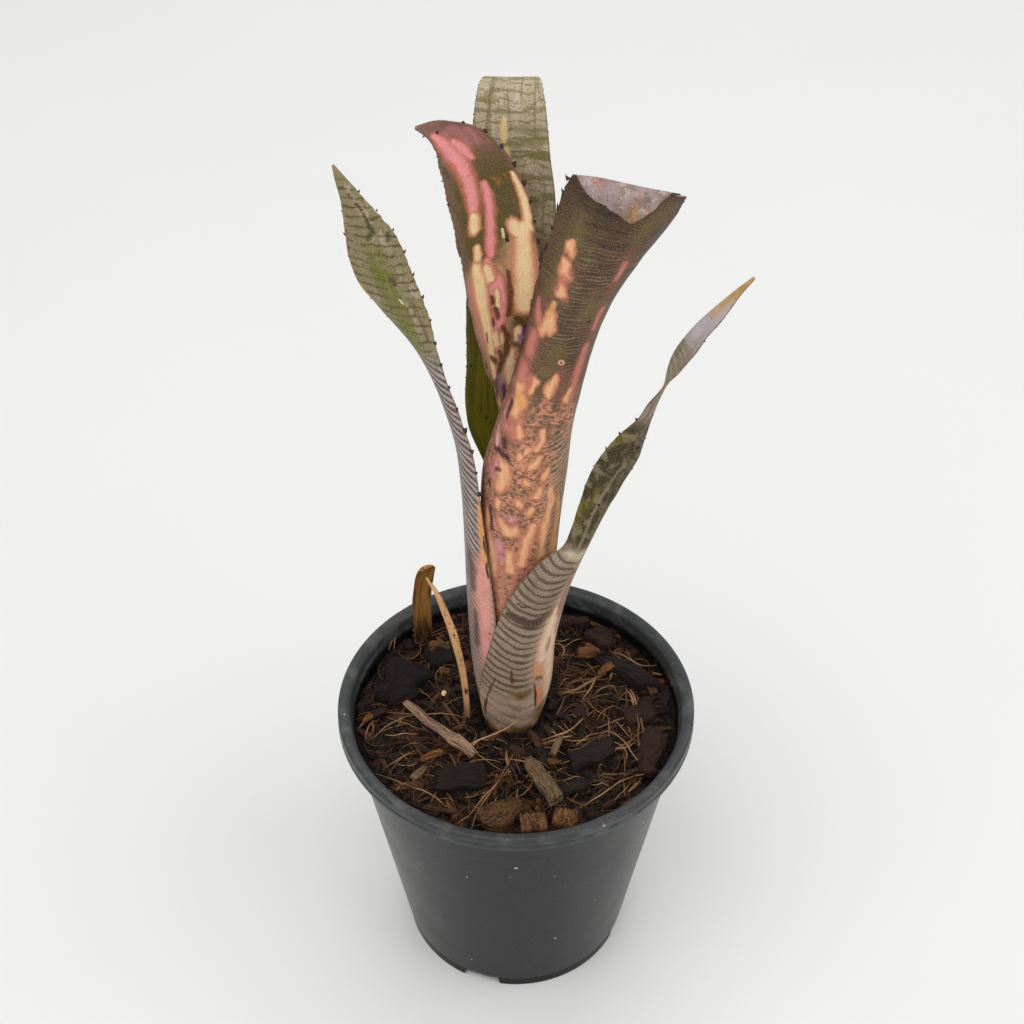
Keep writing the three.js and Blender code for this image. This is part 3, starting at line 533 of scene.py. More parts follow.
leaves["leaf_funnel"] = {
    "mesh": (400, 76), "seed": 8, "thick": 0.9, "wave": 0.35, "ripple": 0.5, "free": 130, "slot": "funnel_leaf",
    "rows": [
        sheathRow(7.2, -82, 145, leafFoot), sheathRow(11.4, -83, 142, 135, 1),
        sheathRow(12.4, -84, 132, 170, 2.2), sheathRow(13, -85, 120, 200, 3.4),
        sheathRow(13.4, -84, 99, 222, 5), [7.4, -8.6, 243, 6, 0, 19.8, 98],
        [12, -7, 263, 6, 0, 17.6, 96], [16.2, -7, 281, 6, 0, 18, 94],
        [22, -8.6, 300, 4, -4, 18.8, 78], [28.2, -9, 318, 2, -9, 18.7, 52],
        [30.0, -8.8, 326.4, 0, -13, 17.0, 18], [30.8, -10.2, 330.4, 0, -14, 15.8, -4],
        [31.2, -13.2, 329.4, 0, -14, 12.0, -8], [31.4, -14.6, 325.4, 0, -10, 6.2, -6],
        [31.2, -14.4, 321.4, 0, 0, 0.5, -6]],
    "ragged": [(-1, 224, 246, 1.5, 0.4), (1, 226, 246, 1.0, 0.35), (-1, 120, 215, 0.6, 0.3)],
    "outer": {"ground": "#5c4838", "marks": [
        {"colour": "#6b5644", "across": 0.08, "along": 0.05, "cut": (0.45, 0.7), "strength": 0.7},
        {"colour": "#53453c", "across": 0.1, "along": 0.35, "cut": (0.52, 0.65), "strength": 0.6, "seed": 2.0,
         "reach": (205, 246, 8)},
        {"colour": "#695d38", "across": 0.14, "along": 0.06, "cut": (0.52, 0.7), "strength": 0.7, "seed": 6.0,
         "reach": (150, 236, 10), "side": (-1.2, -0.1, 0.2)},
        {"colour": "#6d5038", "across": 0.12, "along": 0.05, "cut": (0.5, 0.7), "strength": 0.6, "seed": 9.0,
         "reach": (150, 236, 10), "side": (0.0, 1.2, 0.2)},
        {"colour": "#8d7862", "pitch": 1.35, "slope": -0.16, "across": 0.09, "along": 0.16, "waver": 3.0,
         "cut": (0.3, 0.5), "strength": 0.7, "gaps": 0.9, "reach": (96, 214, 9), "side": (-0.75, 2.0, 0.3)},
        {"colour": "#473a32", "pitch": 1.35, "slope": -0.16, "across": 0.09, "along": 0.16, "waver": 3.0,
         "cut": (0.12, 0.0), "strength": 0.6, "gaps": 0.9, "reach": (150, 222, 8)},
        {"colour": "#b98a6e", "across": 0.1, "along": 0.05, "cut": (0.2, 0.5), "reach": (-20, 152, 11),
         "strength": 0.95, "seed": 3.3},
        {"colour": "#d89a82", "across": 0.25, "along": 0.16, "cut": (0.46, 0.62), "reach": (-20, 160, 8),
         "strength": 0.85, "seed": 7.7},
        {"colour": "#c07f78", "across": 0.25, "along": 0.05, "cut": (0.5, 0.7), "reach": (-20, 112, 12),
         "strength": 0.9, "seed": 4.7},
        {"colour": "#66503f", "across": 0.7, "along": 0.95, "cut": (0.45, 0.58), "reach": (90, 160, 9),
         "strength": 0.78, "detail": 3.0, "seed": 2.2},
        {"colour": "#6f5348", "across": 0.5, "along": 0.5, "cut": (0.54, 0.64), "reach": (-20, 104, 8),
         "strength": 0.8, "detail": 3.0, "seed": 5.2},
        {"colour": "#aa9a80", "pitch": 2.3, "slope": -0.45, "across": 0.1, "along": 0.2, "waver": 1.2,
         "cut": (0.2, 0.36), "strength": 0.85, "reach": (94, 146, 8), "side": (0.2, 2.0, 0.08)},
        {"colour": "#4e4036", "pitch": 2.3, "slope": -0.45, "across": 0.1, "along": 0.2, "waver": 1.2,
         "cut": (0.13, 0.02), "strength": 0.7, "reach": (94, 146, 8), "side": (0.2, 2.0, 0.08)}]},
    "inner": {"ground": "#9c8c8a", "marks": [
        {"colour": "#857369", "across": 0.2, "along": 0.14, "cut": (0.42, 0.62), "strength": 0.85},
        {"colour": "#bdb0ac", "across": 0.3, "along": 0.4, "cut": (0.52, 0.7), "strength": 0.7, "seed": 3.0},
        {"colour": "#b08478", "across": 0.25, "along": 0.2, "cut": (0.55, 0.7), "strength": 0.75, "seed": 6.0},
        {"colour": "#6d6648", "across": 0.35, "along": 0.3, "cut": (0.56, 0.66), "strength": 0.6, "seed": 8.0},
        {"colour": "#6b5c33", "across": 0.1, "along": 0.03, "cut": (0.2, 0.5), "reach": (60, 205, 12)}]},
    "paint": {
        "olive": {"colour": "#6b5c3c", "colour2": "#7a6a42", "soft": 0.6, "strength": 0.85, "lumps": 0.8, "strokes": [
            [(-0.52, 220, 2.2), (-0.5, 213, 3.2), (-0.55, 205, 2.8), (-0.48, 193, 3.0)],
            [(0.35, 219, 2.5), (0.5, 225, 3.0), (0.75, 229, 2.0)], [(-0.12, 176, 2.6), (-0.2, 168, 2.4)],
            [(0.15, 196, 3.0), (0.2, 190, 3.0)]]},
        "bands": {"colour": "#43342e", "soft": 0.5, "strength": 0.7, "lumps": 0.8, "strokes": [
            [(-0.35, 214.6, 0.4), (0.0, 214.6, 0.8), (0.3, 216, 0.4)],
            [(-0.45, 219.2, 0.4), (-0.2, 219.4, 0.7), (0.15, 220, 0.4)],
            [(-0.6, 225, 0.4), (-0.3, 224.4, 0.7), (0.1, 225, 0.4)]]},
        "shade": {"colour": "#43362f", "soft": 0.8, "strength": 0.6, "strokes": [
            [(-0.9, 231, 2.5), (-0.4, 230, 3.0), (0.1, 231, 2.4)], [(-0.8, 178, 1.4), (-0.82, 170, 1.4)]]},
        "brown": {"colour": "#8c6450", "colour2": "#80564a", "soft": 0.7, "strength": 0.8, "lumps": 0.8, "strokes": [
            [(-0.62, 188, 2.6), (-0.6, 178, 4.0), (-0.66, 168, 3.8), (-0.6, 158, 5.0), (-0.55, 146, 4.6),
             (-0.6, 136, 4.0)],
            [(0.38, 213, 1.8), (0.38, 198, 1.6)], [(0.38, 194, 2.0), (0.36, 160, 2.2)],
            [(-0.44, 203, 2.8), (-0.42, 194, 2.6)], [(0.05, 168, 2.4), (0.2, 160, 3.0)]]},
        "rose": {"colour": "#cf8a7c", "colour2": "#c0756c", "soft": 0.4, "lumps": 0.8, "grain": 0.7,
                 "strength": 0.9, "strokes": [
            [(-0.74, 188, 0.9), (-0.66, 184, 1.6), (-0.58, 182, 1.8)], [(-0.62, 177, 1.8), (-0.64, 171, 2.4)],
            [(-0.66, 165, 2.6), (-0.6, 158, 2.6)], [(-0.45, 163, 1.4), (-0.5, 157, 2.0)],
            [(-0.62, 151, 2.6), (-0.58, 144, 2.6)], [(-0.38, 148, 1.4), (-0.42, 143, 1.8)],
            [(0.38, 210, 1.0), (0.37, 204, 0.9)], [(0.38, 192, 0.9), (0.38, 184, 0.9)],
            [(0.36, 178, 0.9), (0.34, 168, 1.5), (0.32, 159, 1.3)],
            [(-0.43, 203, 1.6), (-0.42, 195, 1.6)]]},
        "peach": {"colour": "#ebc093", "colour2": "#e6ac8a", "halo": "#a66c4c", "reach": 0.55, "soft": 0.28,
                  "fringe": "#d9987a", "core": 0.5, "lumps": 0.8, "grain": 0.7, "waver": 1.1, "strokes": [
            [(-0.53, 210.8, 1.0), (-0.49, 208.4, 1.7)], [(-0.5, 204.4, 1.6), (-0.46, 201.4, 1.9)],
            [(-0.4, 196.4, 1.3), (-0.38, 194.4, 1.6)], [(-0.4, 187, 1.0), (-0.41, 182.4, 2.2), (-0.45, 180, 1.8)],
            [(-0.08, 166, 1.1), (-0.08, 161.4, 1.9), (-0.05, 159, 1.2)], [(-0.36, 163, 1.1), (-0.36, 159.4, 1.1)],
            [(-0.6, 158, 1.8), (-0.48, 155, 2.4), (-0.52, 150, 2.4)], [(0.3, 162, 1.0), (0.28, 158.4, 1.0)],
            [(-0.35, 145, 1.5), (-0.33, 143, 1.4)], [(0.01, 146.6, 0.9), (0.0, 142, 1.6), (-0.04, 139.6, 1.2)],
            [(-0.14, 139.4, 1.0), (-0.15, 138, 0.9)], [(-0.24, 137, 1.3), (-0.25, 135.4, 1.2)],
            [(0.06, 137, 1.1), (0.02, 134.4, 1.7), (-0.06, 132, 1.1)], [(0.2, 132, 1.0), (0.16, 128, 1.2)],
            [(-0.5, 131.6, 1.6), (-0.42, 129, 2.6), (-0.4, 124.6, 2.6), (-0.45, 121.6, 1.9)],
            [(0.12, 124, 1.5), (0.08, 121, 1.4)], [(-0.08, 127, 1.1), (-0.03, 125, 1.1)],
            [(-0.13, 118.4, 1.5), (-0.1, 117, 1.3)], [(-0.38, 116.4, 1.2), (-0.4, 114.4, 1.4)],
            [(0.02, 114, 1.4), (0.06, 116, 1.1)], [(-0.52, 110, 1.7), (-0.52, 101, 1.8)],
            [(-0.3, 108, 1.3), (-0.22, 105.6, 2.2), (-0.1, 106, 2.0)], [(-0.45, 100, 2.0), (-0.38, 94, 2.2), (-0.36, 84, 2.0)],
            [(0.3, 124, 0.8), (0.34, 117, 1.7), (0.28, 110, 1.8), (0.24, 102, 1.7), (0.22, 94, 1.6)],
            [(0.1, 108, 1.6), (0.02, 100, 1.9), (0.0, 92, 1.8)], [(-0.16, 96, 1.6), (-0.14, 88, 1.6)]]},
        "orange": {"colour": "#e0ae74", "colour2": "#d89c68", "soft": 0.35, "strokes": [
            [(0.47, 118, 0.8), (0.49, 108, 1.4), (0.44, 95, 2.2)], [(-0.52, 156, 1.3), (-0.44, 153.6, 1.4)],
            [(-0.42, 190, 1.0), (-0.45, 186, 0.9)]]},
        "magenta": {"colour": "#d3a09e", "colour2": "#b46a76", "soft": 0.45, "lumps": 1.2, "grain": 0.8, "strokes": [
            [(-0.76, 141, 1.0), (-0.7, 137.6, 1.9), (-0.62, 137, 1.4)], [(-0.72, 147, 1.0), (-0.66, 144, 1.2)],
            [(-0.6, 130, 1.6), (-0.6, 125, 1.9)], [(-0.24, 110.6, 1.2), (-0.12, 111, 1.0)],
            [(-0.3, 99, 1.6), (-0.25, 93, 1.6)]]},
        "glow": {"colour": "#e0b8b0", "soft": 0.4, "strokes": [[(-0.72, 138, 0.8), (-0.67, 136, 0.9)]]},
        "rot": {"colour": "#5a3038", "colour2": "#3f2a28", "soft": 0.35, "lumps": 0.8, "grain": 0.8, "strokes": [
            [(-0.55, 139, 1.0), (-0.5, 136.4, 0.8)], [(-0.66, 152, 0.7), (-0.66, 147, 0.8)],
            [(-0.55, 127.6, 0.8), (-0.48, 128.4, 0.7)], [(-0.62, 120.6, 0.9), (-0.58, 119.8, 0.7)],
            [(-0.7, 134, 0.8), (-0.4, 134, 0.9)], [(-0.5, 112.4, 0.8), (-0.42, 104, 1.0)]]},
        "hole": {"colour": "#dcae90", "soft": 0.0, "strokes": [[(-0.02, 172, 1.0), (-0.018, 172, 1.0)]],
                 "lumps": 0.1, "grain": 0.2, "waver": 0.0},
        "pit": {"colour": "#1c120e", "soft": 0.0, "strokes": [[(-0.02, 172, 0.45), (-0.018, 172, 0.45)]],
                "lumps": 0.1, "grain": 0.2, "waver": 0.0},
        "dots": {"colour": "#3a2a22", "soft": 0.0, "waver": 0.0, "strokes": [
            [(0.22, 188, 0.5), (0.22, 187.4, 0.5)], [(0.6, 181, 0.4), (0.6, 180.6, 0.4)],
            [(0.02, 208, 0.35), (0.02, 207.6, 0.35)], [(-0.28, 197, 0.35), (-0.28, 196.6, 0.35)]]},
        "tip": {"colour": "#b08e66", "colour2": "#8a6a4a", "soft": 0.6, "strokes": [[(0.0, 242, 1.2), (0.0, 245, 2.0)]]},
    },
    "spots": {"rate": 0.26, "size": 0.09, "colour": "#3a241f"},
    "margin": "#4d332c", "marginFrom": 0.965, "browned": 2, "gloss": 0.4,
}
leaves["leaf_left"] = {
    "mesh": (360, 36), "seed": 13, "thick": 0.8, "wave": 0.4, "ripple": 0.5, "free": 110, "slot": "banded_leaf",
    "rows": [
        sheathRow(8.4, 190, 75, leafFoot), sheathRow(12.6, 189, 72, 131, -0.4),
        sheathRow(13.3, 188, 66, 166, -1.2), [-16.9, 2.6, 190, 282, 0, 12.6, 52],
        [-17.2, 2.4, 210, 288, 0, 9.4, 42], [-18.6, 2.2, 230, 292, 0, 7.6, 36],
        [-22.8, 2.2, 248, 296, 0, 6.6, 34], [-28, 2.4, 264, 306, 0, 6.8, 34],
        [-34.2, 2.8, 278, 330, 0, 9.2, 34], [-39.8, 3.2, 292, 344, 0, 9.6, 28],
        [-43.0, 3.8, 305, 348, 0, 8.2, 26], [-47.2, 4.4, 317.4, 350, 0, 3.8, 22],
        [-51.8, 5, 328.6, 350, 0, 0.4, 15]],
    "ragged": [(1, 160, 226, 0.6, 0.3), (-1, 175, 226, 0.3, 0.3)],
    "outer": {"ground": "#a99e9a", "marks": [
        {"colour": "#8f7f7c", "across": 0.3, "along": 0.05, "cut": (0.5, 0.7), "strength": 0.6, "reach": (20, 160, 8)},
        {"colour": "#63524f", "pitch": 2.8, "slope": 0.62, "across": 0.12, "along": 0.1, "cut": (0.3, 0.16),
         "waver": 0.9, "grit": 0.7, "gaps": 0.45, "strength": 0.95, "reach": (34, 172, 8)},
        {"colour": "#c6bcb6", "pitch": 2.8, "slope": 0.62, "across": 0.12, "along": 0.1, "cut": (0.4, 0.55),
         "waver": 0.9, "strength": 0.5, "reach": (34, 172, 8)},
        {"colour": "#c0a294", "across": 0.1, "along": 0.05, "cut": (0.3, 0.6), "reach": (-20, 40, 10),
         "strength": 0.85},
        {"colour": "#7d6858", "pitch": 5.0, "slope": 0.6, "across": 0.1, "along": 0.1, "cut": (0.2, 0.05),
         "waver": 1.6, "strength": 0.7, "reach": (-20, 38, 6)},
        {"colour": "#8f8465", "across": 0.1, "along": 0.02, "cut": (0.0, 0.2), "reach": (168, 300, 8)},
        {"colour": "#afa290", "across": 0.3, "along": 0.12, "cut": (0.48, 0.62), "reach": (170, 232, 5),
         "strength": 0.75, "seed": 9.0, "side": (0.05, 2.0, 0.2)},
        {"colour": "#c0b4a0", "across": 0.2, "along": 0.08, "cut": (0.5, 0.65), "reach": (176, 226, 5),
         "strength": 0.6, "seed": 5.0, "side": (-2.0, -0.45, 0.2)},
        {"colour": "#5d5233", "pitch": 3.1, "slope": 0.3, "across": 0.14, "along": 0.1, "cut": (0.14, 0.04),
         "waver": 1.2, "grit": 0.9, "gaps": 0.7, "strength": 0.85, "reach": (168, 232, 5)},
        {"colour": "#6d7222", "across": 0.12, "along": 0.03, "cut": (0.2, 0.5), "reach": (172, 206, 9),
         "side": (-0.25, 0.38, 0.22), "strength": 0.85},
        {"colour": "#5f5a3a", "across": 0.7, "along": 0.5, "cut": (0.56, 0.66), "reach": (168, 236, 4),
         "strength": 0.6, "seed": 2.0, "detail": 3.0},
        {"colour": "#6a4f44", "across": 0.4, "along": 0.08, "cut": (0.55, 0.66), "reach": (140, 190, 8),
         "strength": 0.6, "side": (0.3, 2.0, 0.2)},
        {"colour": "#a58a64", "across": 0.2, "along": 0.05, "cut": (0.1, 0.4), "reach": (234, 260, 3)}]},
    "inner": {"ground": "#78703f", "marks": [
        {"colour": "#9a9172", "pitch": 2.8, "across": 0.1, "along": 0.1, "cut": (0.3, 0.45), "strength": 0.6},
        {"colour": "#55502b", "across": 0.4, "along": 0.05, "cut": (0.5, 0.7), "strength": 0.6}]},
    "paint": {
        "rosy": {"colour": "#c08878", "soft": 0.8, "strength": 0.6, "lumps": 0.8, "strokes": [
            [(0.72, 90, 2.6), (0.62, 76, 4.0), (0.66, 58, 4.6), (0.68, 44, 4.0), (0.72, 34, 2.4)]]},
        "pink": {"colour": "#e2a89c", "colour2": "#d69788", "soft": 0.35, "lumps": 0.6, "grain": 0.6, "strokes": [
            [(0.9, 94, 1.4), (0.82, 86, 2.6), (0.76, 76, 3.0), (0.76, 66, 2.8), (0.78, 56, 3.2), (0.77, 48, 3.0),
             (0.77, 40, 2.2), (0.78, 35, 1.2)]]},
        "bloom": {"colour": "#dfa3a4", "soft": 0.5, "strokes": [[(0.76, 52, 1.8), (0.77, 42, 1.6)]]},
        "orange": {"colour": "#dba067", "colour2": "#d9a070", "soft": 0.35, "strokes": [
            [(0.98, 116, 0.6), (0.96, 106, 1.6), (0.95, 96, 1.9), (0.95, 90, 1.4)]]},
        "stain": {"colour": "#5a4c48", "soft": 0.5, "strength": 0.85, "lumps": 0.8, "grain": 0.9, "strokes": [
            [(0.3, 92, 1.0), (0.4, 84, 2.2), (0.42, 76, 1.4)], [(0.46, 66, 0.8), (0.44, 58, 1.6), (0.42, 50, 1.4)],
            [(0.3, 197, 0.7), (0.36, 194.6, 0.6)]]},
        "crack": {"colour": "#2c1a12", "soft": 0.0, "waver": 0.7, "strokes": [
            [(1.0, 101, 0.7), (0.97, 97, 0.6), (1.0, 93, 0.4), (0.95, 87, 0.6), (0.97, 84, 0.4)],
            [(0.84, 58, 0.35), (0.78, 57.6, 0.3)]]},
        "dark": {"colour": "#4a4a2c", "soft": 0.5, "strokes": [[(0.3, 219, 0.4), (0.32, 213, 0.7), (0.05, 211, 0.8)],
            [(0.75, 211, 0.8), (0.68, 209.6, 0.9)], [(0.12, 226, 0.4), (0.12, 225.6, 0.4)]]},
        "rust": {"colour": "#6d4a38", "soft": 0.0, "strokes": [[(0.36, 196, 0.6), (0.37, 194.8, 0.6)],
                 [(0.25, 222, 0.6), (0.32, 220, 0.5)]]},
        "gold": {"colour": "#d5ad5c", "soft": 0.4, "strokes": [[(-0.93, 196, 0.5), (-0.92, 190, 0.6)]]},
        "glint": {"colour": "#dcd6b4", "soft": 0.0, "strokes": [[(0.28, 190, 0.3), (0.33, 187.6, 0.25)]]},
    },
    "spots": {"rate": 0.3, "size": 0.07, "colour": "#5a4128"},
    "margin": "#8c7a5e", "marginFrom": 0.95, "browned": 3, "gloss": 0.45,
}
leaves["leaf_right"] = {
    "mesh": (360, 44), "seed": 17, "thick": 0.85, "wave": 0.35, "ripple": 0.5, "free": 95, "slot": "banded_leaf",
    "rows": [
        sheathRow(9.6, -76, 82, leafFoot), sheathRow(14.3, -71, 72, 123, 0.4),
        [4.4, -11.4, 148, 20, 0, 15.2, 60], [8, -12.4, 170, 18, 0, 13, 54],
        [13, -13.2, 187, 14, 0, 9.2, 52], [18.6, -12.6, 198, 6, 0, 4.8, 55],
        [21.4, -12.4, 208, -6, 0, 4, 40], [27.2, -14.4, 229, -12, 0, 5.4, 34],
        [32.8, -16.4, 243, -6, 0, 5.2, 30], [38.6, -18.4, 257, 34, 0, 3.6, 28],
        [42.2, -20, 267.5, 60, 0, 3.4, 24], [46.8, -21.2, 280, 104, 0, 4, 24],
        [54.8, -23.4, 295.5, 124, 0, 2.6, 20], [64.6, -26, 311, 124, 0, 0.4, 15]],
    "ragged": [(-1, 48, 96, 0.8, 0.3), (-1, 120, 175, 0.4, 0.3)],
    "outer": {"ground": "#9c8c7c", "marks": [
        {"colour": "#7e6f5e", "across": 0.12, "along": 0.06, "cut": (0.4, 0.65), "strength": 0.7, "reach": (76, 101, 10)},
        {"colour": "#a89a84", "across": 0.2, "along": 0.1, "cut": (0.4, 0.65), "reach": (26, 66, 8),
         "strength": 0.7},
        {"colour": "#5f4f42", "pitch": 3.3, "chevron": -0.42, "vertex": -2.2, "across": 0.08, "along": 0.08,
         "cut": (0.27, 0.1), "waver": 1.0, "grit": 0.5, "gaps": 0.5, "strength": 0.9, "reach": (30, 101, 3)},
        {"colour": "#6b5a4c", "across": 1.2, "along": 1.2, "cut": (0.54, 0.64), "strength": 0.45, "detail": 3.0,
         "reach": (30, 101, 3)},
        {"colour": "#c3a896", "across": 0.1, "along": 0.12, "cut": (0.3, 0.55), "reach": (-20, 30, 6),
         "strength": 0.9},
        {"colour": "#d0b4a4", "across": 0.2, "along": 0.2, "cut": (0.52, 0.65), "reach": (-20, 26, 6),
         "strength": 0.8, "seed": 2.0},
        {"colour": "#8d7563", "pitch": 6.0, "chevron": -0.5, "across": 0.1, "along": 0.1, "cut": (0.2, 0.0),
         "waver": 1.6, "strength": 0.75, "reach": (8, 30, 4)},
        {"colour": "#463d22", "across": 0.1, "along": 0.03, "cut": (0.1, 0.4), "reach": (104, 164, 5)},
        {"colour": "#6d6425", "across": 0.15, "along": 0.06, "cut": (0.45, 0.62), "reach": (114, 158, 6),
         "side": (-2.0, 0.0, 0.1), "strength": 0.9},
        {"colour": "#a09480", "across": 0.28, "along": 0.2, "cut": (0.46, 0.62), "reach": (104, 165, 5),
         "side": (-2.0, 0.12, 0.1), "strength": 0.5, "seed": 5.0},
        {"colour": "#7f715b", "across": 0.35, "along": 0.1, "slope": 0.8, "cut": (0.42, 0.6),
         "reach": (104, 170, 5), "side": (0.12, 2.0, 0.06), "strength": 0.75, "seed": 3.0},
        {"colour": "#4d4433", "pitch": 3.2, "slope": 0.9, "across": 0.2, "along": 0.1, "cut": (0.14, 0.05),
         "reach": (104, 165, 5), "side": (0.12, 2.0, 0.06), "strength": 0.8, "waver": 1.4},
        {"colour": "#8b7b66", "across": 0.1, "along": 0.03, "cut": (0.0, 0.3), "reach": (172, 300, 4)},
        {"colour": "#a89984", "across": 0.4, "along": 0.06, "cut": (0.5, 0.65), "reach": (178, 216, 4),
         "strength": 0.8, "seed": 6.0},
        {"colour": "#5f4c3c", "across": 0.9, "along": 0.08, "cut": (0.56, 0.66), "reach": (160, 200, 5),
         "strength": 0.7}]},
    "inner": {"ground": "#8a7f6c", "marks": [
        {"colour": "#aaa090", "pitch": 2.8, "across": 0.08, "along": 0.22, "cut": (0.3, 0.45), "strength": 0.7},
        {"colour": "#5e5640", "across": 0.4, "along": 0.06, "cut": (0.5, 0.7), "strength": 0.6},
        {"colour": "#b9aeb4", "across": 0.2, "along": 0.05, "cut": (0.2, 0.6), "reach": (196, 216, 4)}]},
    "paint": {
        "dark": {"colour": "#55433a", "soft": 0.1, "lumps": 0.4, "waver": 0.4, "strength": 0.9, "strokes": [
            [(-0.8, 70, 1.4), (-0.45, 69.4, 2.0), (-0.15, 67.6, 2.2), (0.12, 71, 1.9), (0.35, 75, 1.2)],
            [(-0.75, 75.8, 0.4), (-0.45, 75.4, 0.5)]]},
        "blush": {"colour": "#d3b39c", "soft": 0.6, "strength": 0.85, "lumps": 0.8, "strokes": [
            [(0.72, 92, 0.8), (0.6, 82, 2.0), (0.52, 70, 3.4), (0.46, 56, 4.6), (0.42, 42, 4.8), (0.44, 28, 4.0)],
            [(0.78, 66, 3.0), (0.76, 46, 4.0), (0.75, 28, 3.6)]]},
        "pink": {"colour": "#eed4b8", "colour2": "#e4bca8", "soft": 0.35, "lumps": 0.8, "grain": 0.7, "strokes": [
            [(0.46, 74, 1.0), (0.42, 66, 2.0), (0.36, 56, 2.4), (0.34, 48, 2.0)],
            [(0.62, 66, 1.2), (0.62, 50, 2.4), (0.6, 36, 2.4), (0.56, 24, 1.8)]]},
        "dapple": {"colour": "#8a5f5c", "soft": 0.5, "grain": 1.6, "lumps": 1.2, "strength": 0.7, "strokes": [
            [(0.66, 90, 1.0), (0.62, 78, 1.4), (0.56, 70, 0.9)], [(0.5, 58, 0.7), (0.46, 52, 0.8)],
            [(0.78, 74, 1.0), (0.7, 58, 0.8)]]},
        "orange": {"colour": "#de9566", "colour2": "#e3a684", "soft": 0.4, "strokes": [
            [(0.2, 47, 0.9), (0.25, 42, 1.7), (0.28, 38, 1.2)], [(0.27, 33, 0.8), (0.32, 28, 1.6), (0.36, 22, 1.2)]]},
        "char": {"colour": "#8c6a3c", "colour2": "#6b5238", "soft": 0.5, "strokes": [
            [(0.22, 38.4, 0.8), (0.34, 36.8, 1.0)], [(0.42, 18, 1.8), (0.5, 13, 2.6), (0.6, 11, 2.2)],
            [(-0.14, 10, 1.6), (0.0, 8, 2.8), (0.16, 8, 2.4)], [(-0.3, 33, 1.0), (-0.1, 30.6, 1.8), (0.05, 32, 1.4)]]},
        "crack": {"colour": "#3a2410", "soft": 0.0, "waver": 0.35, "strokes": [
            [(0.17, 36, 0.35), (0.2, 32, 0.5), (0.23, 26, 0.55), (0.26, 21, 0.35)]]},
        "seam": {"colour": "#6b4724", "soft": 0.0, "waver": 0.4, "strokes": [
            [(-0.66, 40, 0.35), (-0.72, 34, 0.5), (-0.78, 27, 0.45), (-0.82, 19, 0.5), (-0.84, 12, 0.5)],
            [(-0.36, 45, 0.35), (-0.34, 41.6, 0.6), (-0.31, 38.6, 0.8)]]},
        "crease": {"colour": "#c6bfa8", "colour2": "#b6a98c", "soft": 0.5, "lumps": 0.5, "strokes": [
            [(-0.5, 100.8, 0.8), (0.0, 101.4, 2.0), (0.9, 102, 2.2)]]},
        "tan": {"colour": "#c2a274", "colour2": "#b08e60", "soft": 0.5, "strokes": [
            [(0.5, 97.6, 0.6), (0.9, 96.6, 1.2)], [(0.4, 208, 0.8), (0.3, 214, 1.4), (0.1, 220, 2.4), (0.0, 226, 2.0)]]},
        "lilac": {"colour": "#b5a8a2", "soft": 0.5, "strength": 0.6, "strokes": [[(-0.5, 202, 0.8), (-0.5, 210, 1.2), (-0.6, 216, 0.6)]]},
        "vein": {"colour": "#a89d86", "soft": 0.5, "strength": 0.5, "strokes": [
            [(0.1, 104, 0.3), (0.16, 115, 0.45), (0.2, 128, 0.45), (0.3, 140, 0.4), (0.4, 146, 0.3)]]},
        "dots": {"colour": "#241811", "soft": 0.0, "waver": 0.1, "strokes": [
            [(0.62, 152.6, 0.7), (0.7, 152.6, 0.6)], [(0.22, 125.4, 0.5), (0.26, 125.4, 0.5)],
            [(0.5, 166, 0.5), (0.5, 165, 0.4)]]},
    },
    "spots": {"rate": 0.3, "size": 0.07, "colour": "#4a3a2c"},
    "margin": "#756048", "marginFrom": 0.95, "browned": 8, "gloss": 0.45,
}
leaves["leaf_old"] = {
    "mesh": (120, 16), "seed": 21, "thick": 0.9, "wave": 0.4, "ripple": 0.4, "free": 40, "slot": "banded_leaf",
    "rows": [
        sheathRow(8.4, 26, 34, leafFoot), sheathRow(12.5, 28, 34, 125, 0.9),
        [14.6, 8, 150, 92, 0, 7.2, 36], [20.4, 4.6, 176, 66, 0, 6.4, 32], [26.4, -0.4, 201, 46, 0, 5.2, 28],
        [32.6, -6, 225, 36, 0, 4.4, 26], [37.2, -8.6, 238, 34, 0, 3.4, 24]],
    "outer": {"ground": "#6f6048", "marks": [
        {"colour": "#83745e", "across": 0.3, "along": 0.05, "cut": (0.45, 0.65)},
        {"colour": "#4f4431", "across": 0.5, "along": 0.12, "cut": (0.55, 0.7), "strength": 0.8, "seed": 2.0},
        {"colour": "#51462f", "pitch": 3.0, "across": 0.2, "along": 0.1, "cut": (0.16, 0.04), "strength": 0.5},
        {"colour": "#b9a97c", "across": 0.2, "along": 0.1, "cut": (0.0, 0.2), "reach": (137, 160, 2)}]},
    "spots": {"rate": 0.3, "size": 0.1, "colour": "#2c2013"},
    "margin": "#8b7a52", "marginFrom": 0.93, "browned": 8, "gloss": 0.45,
}
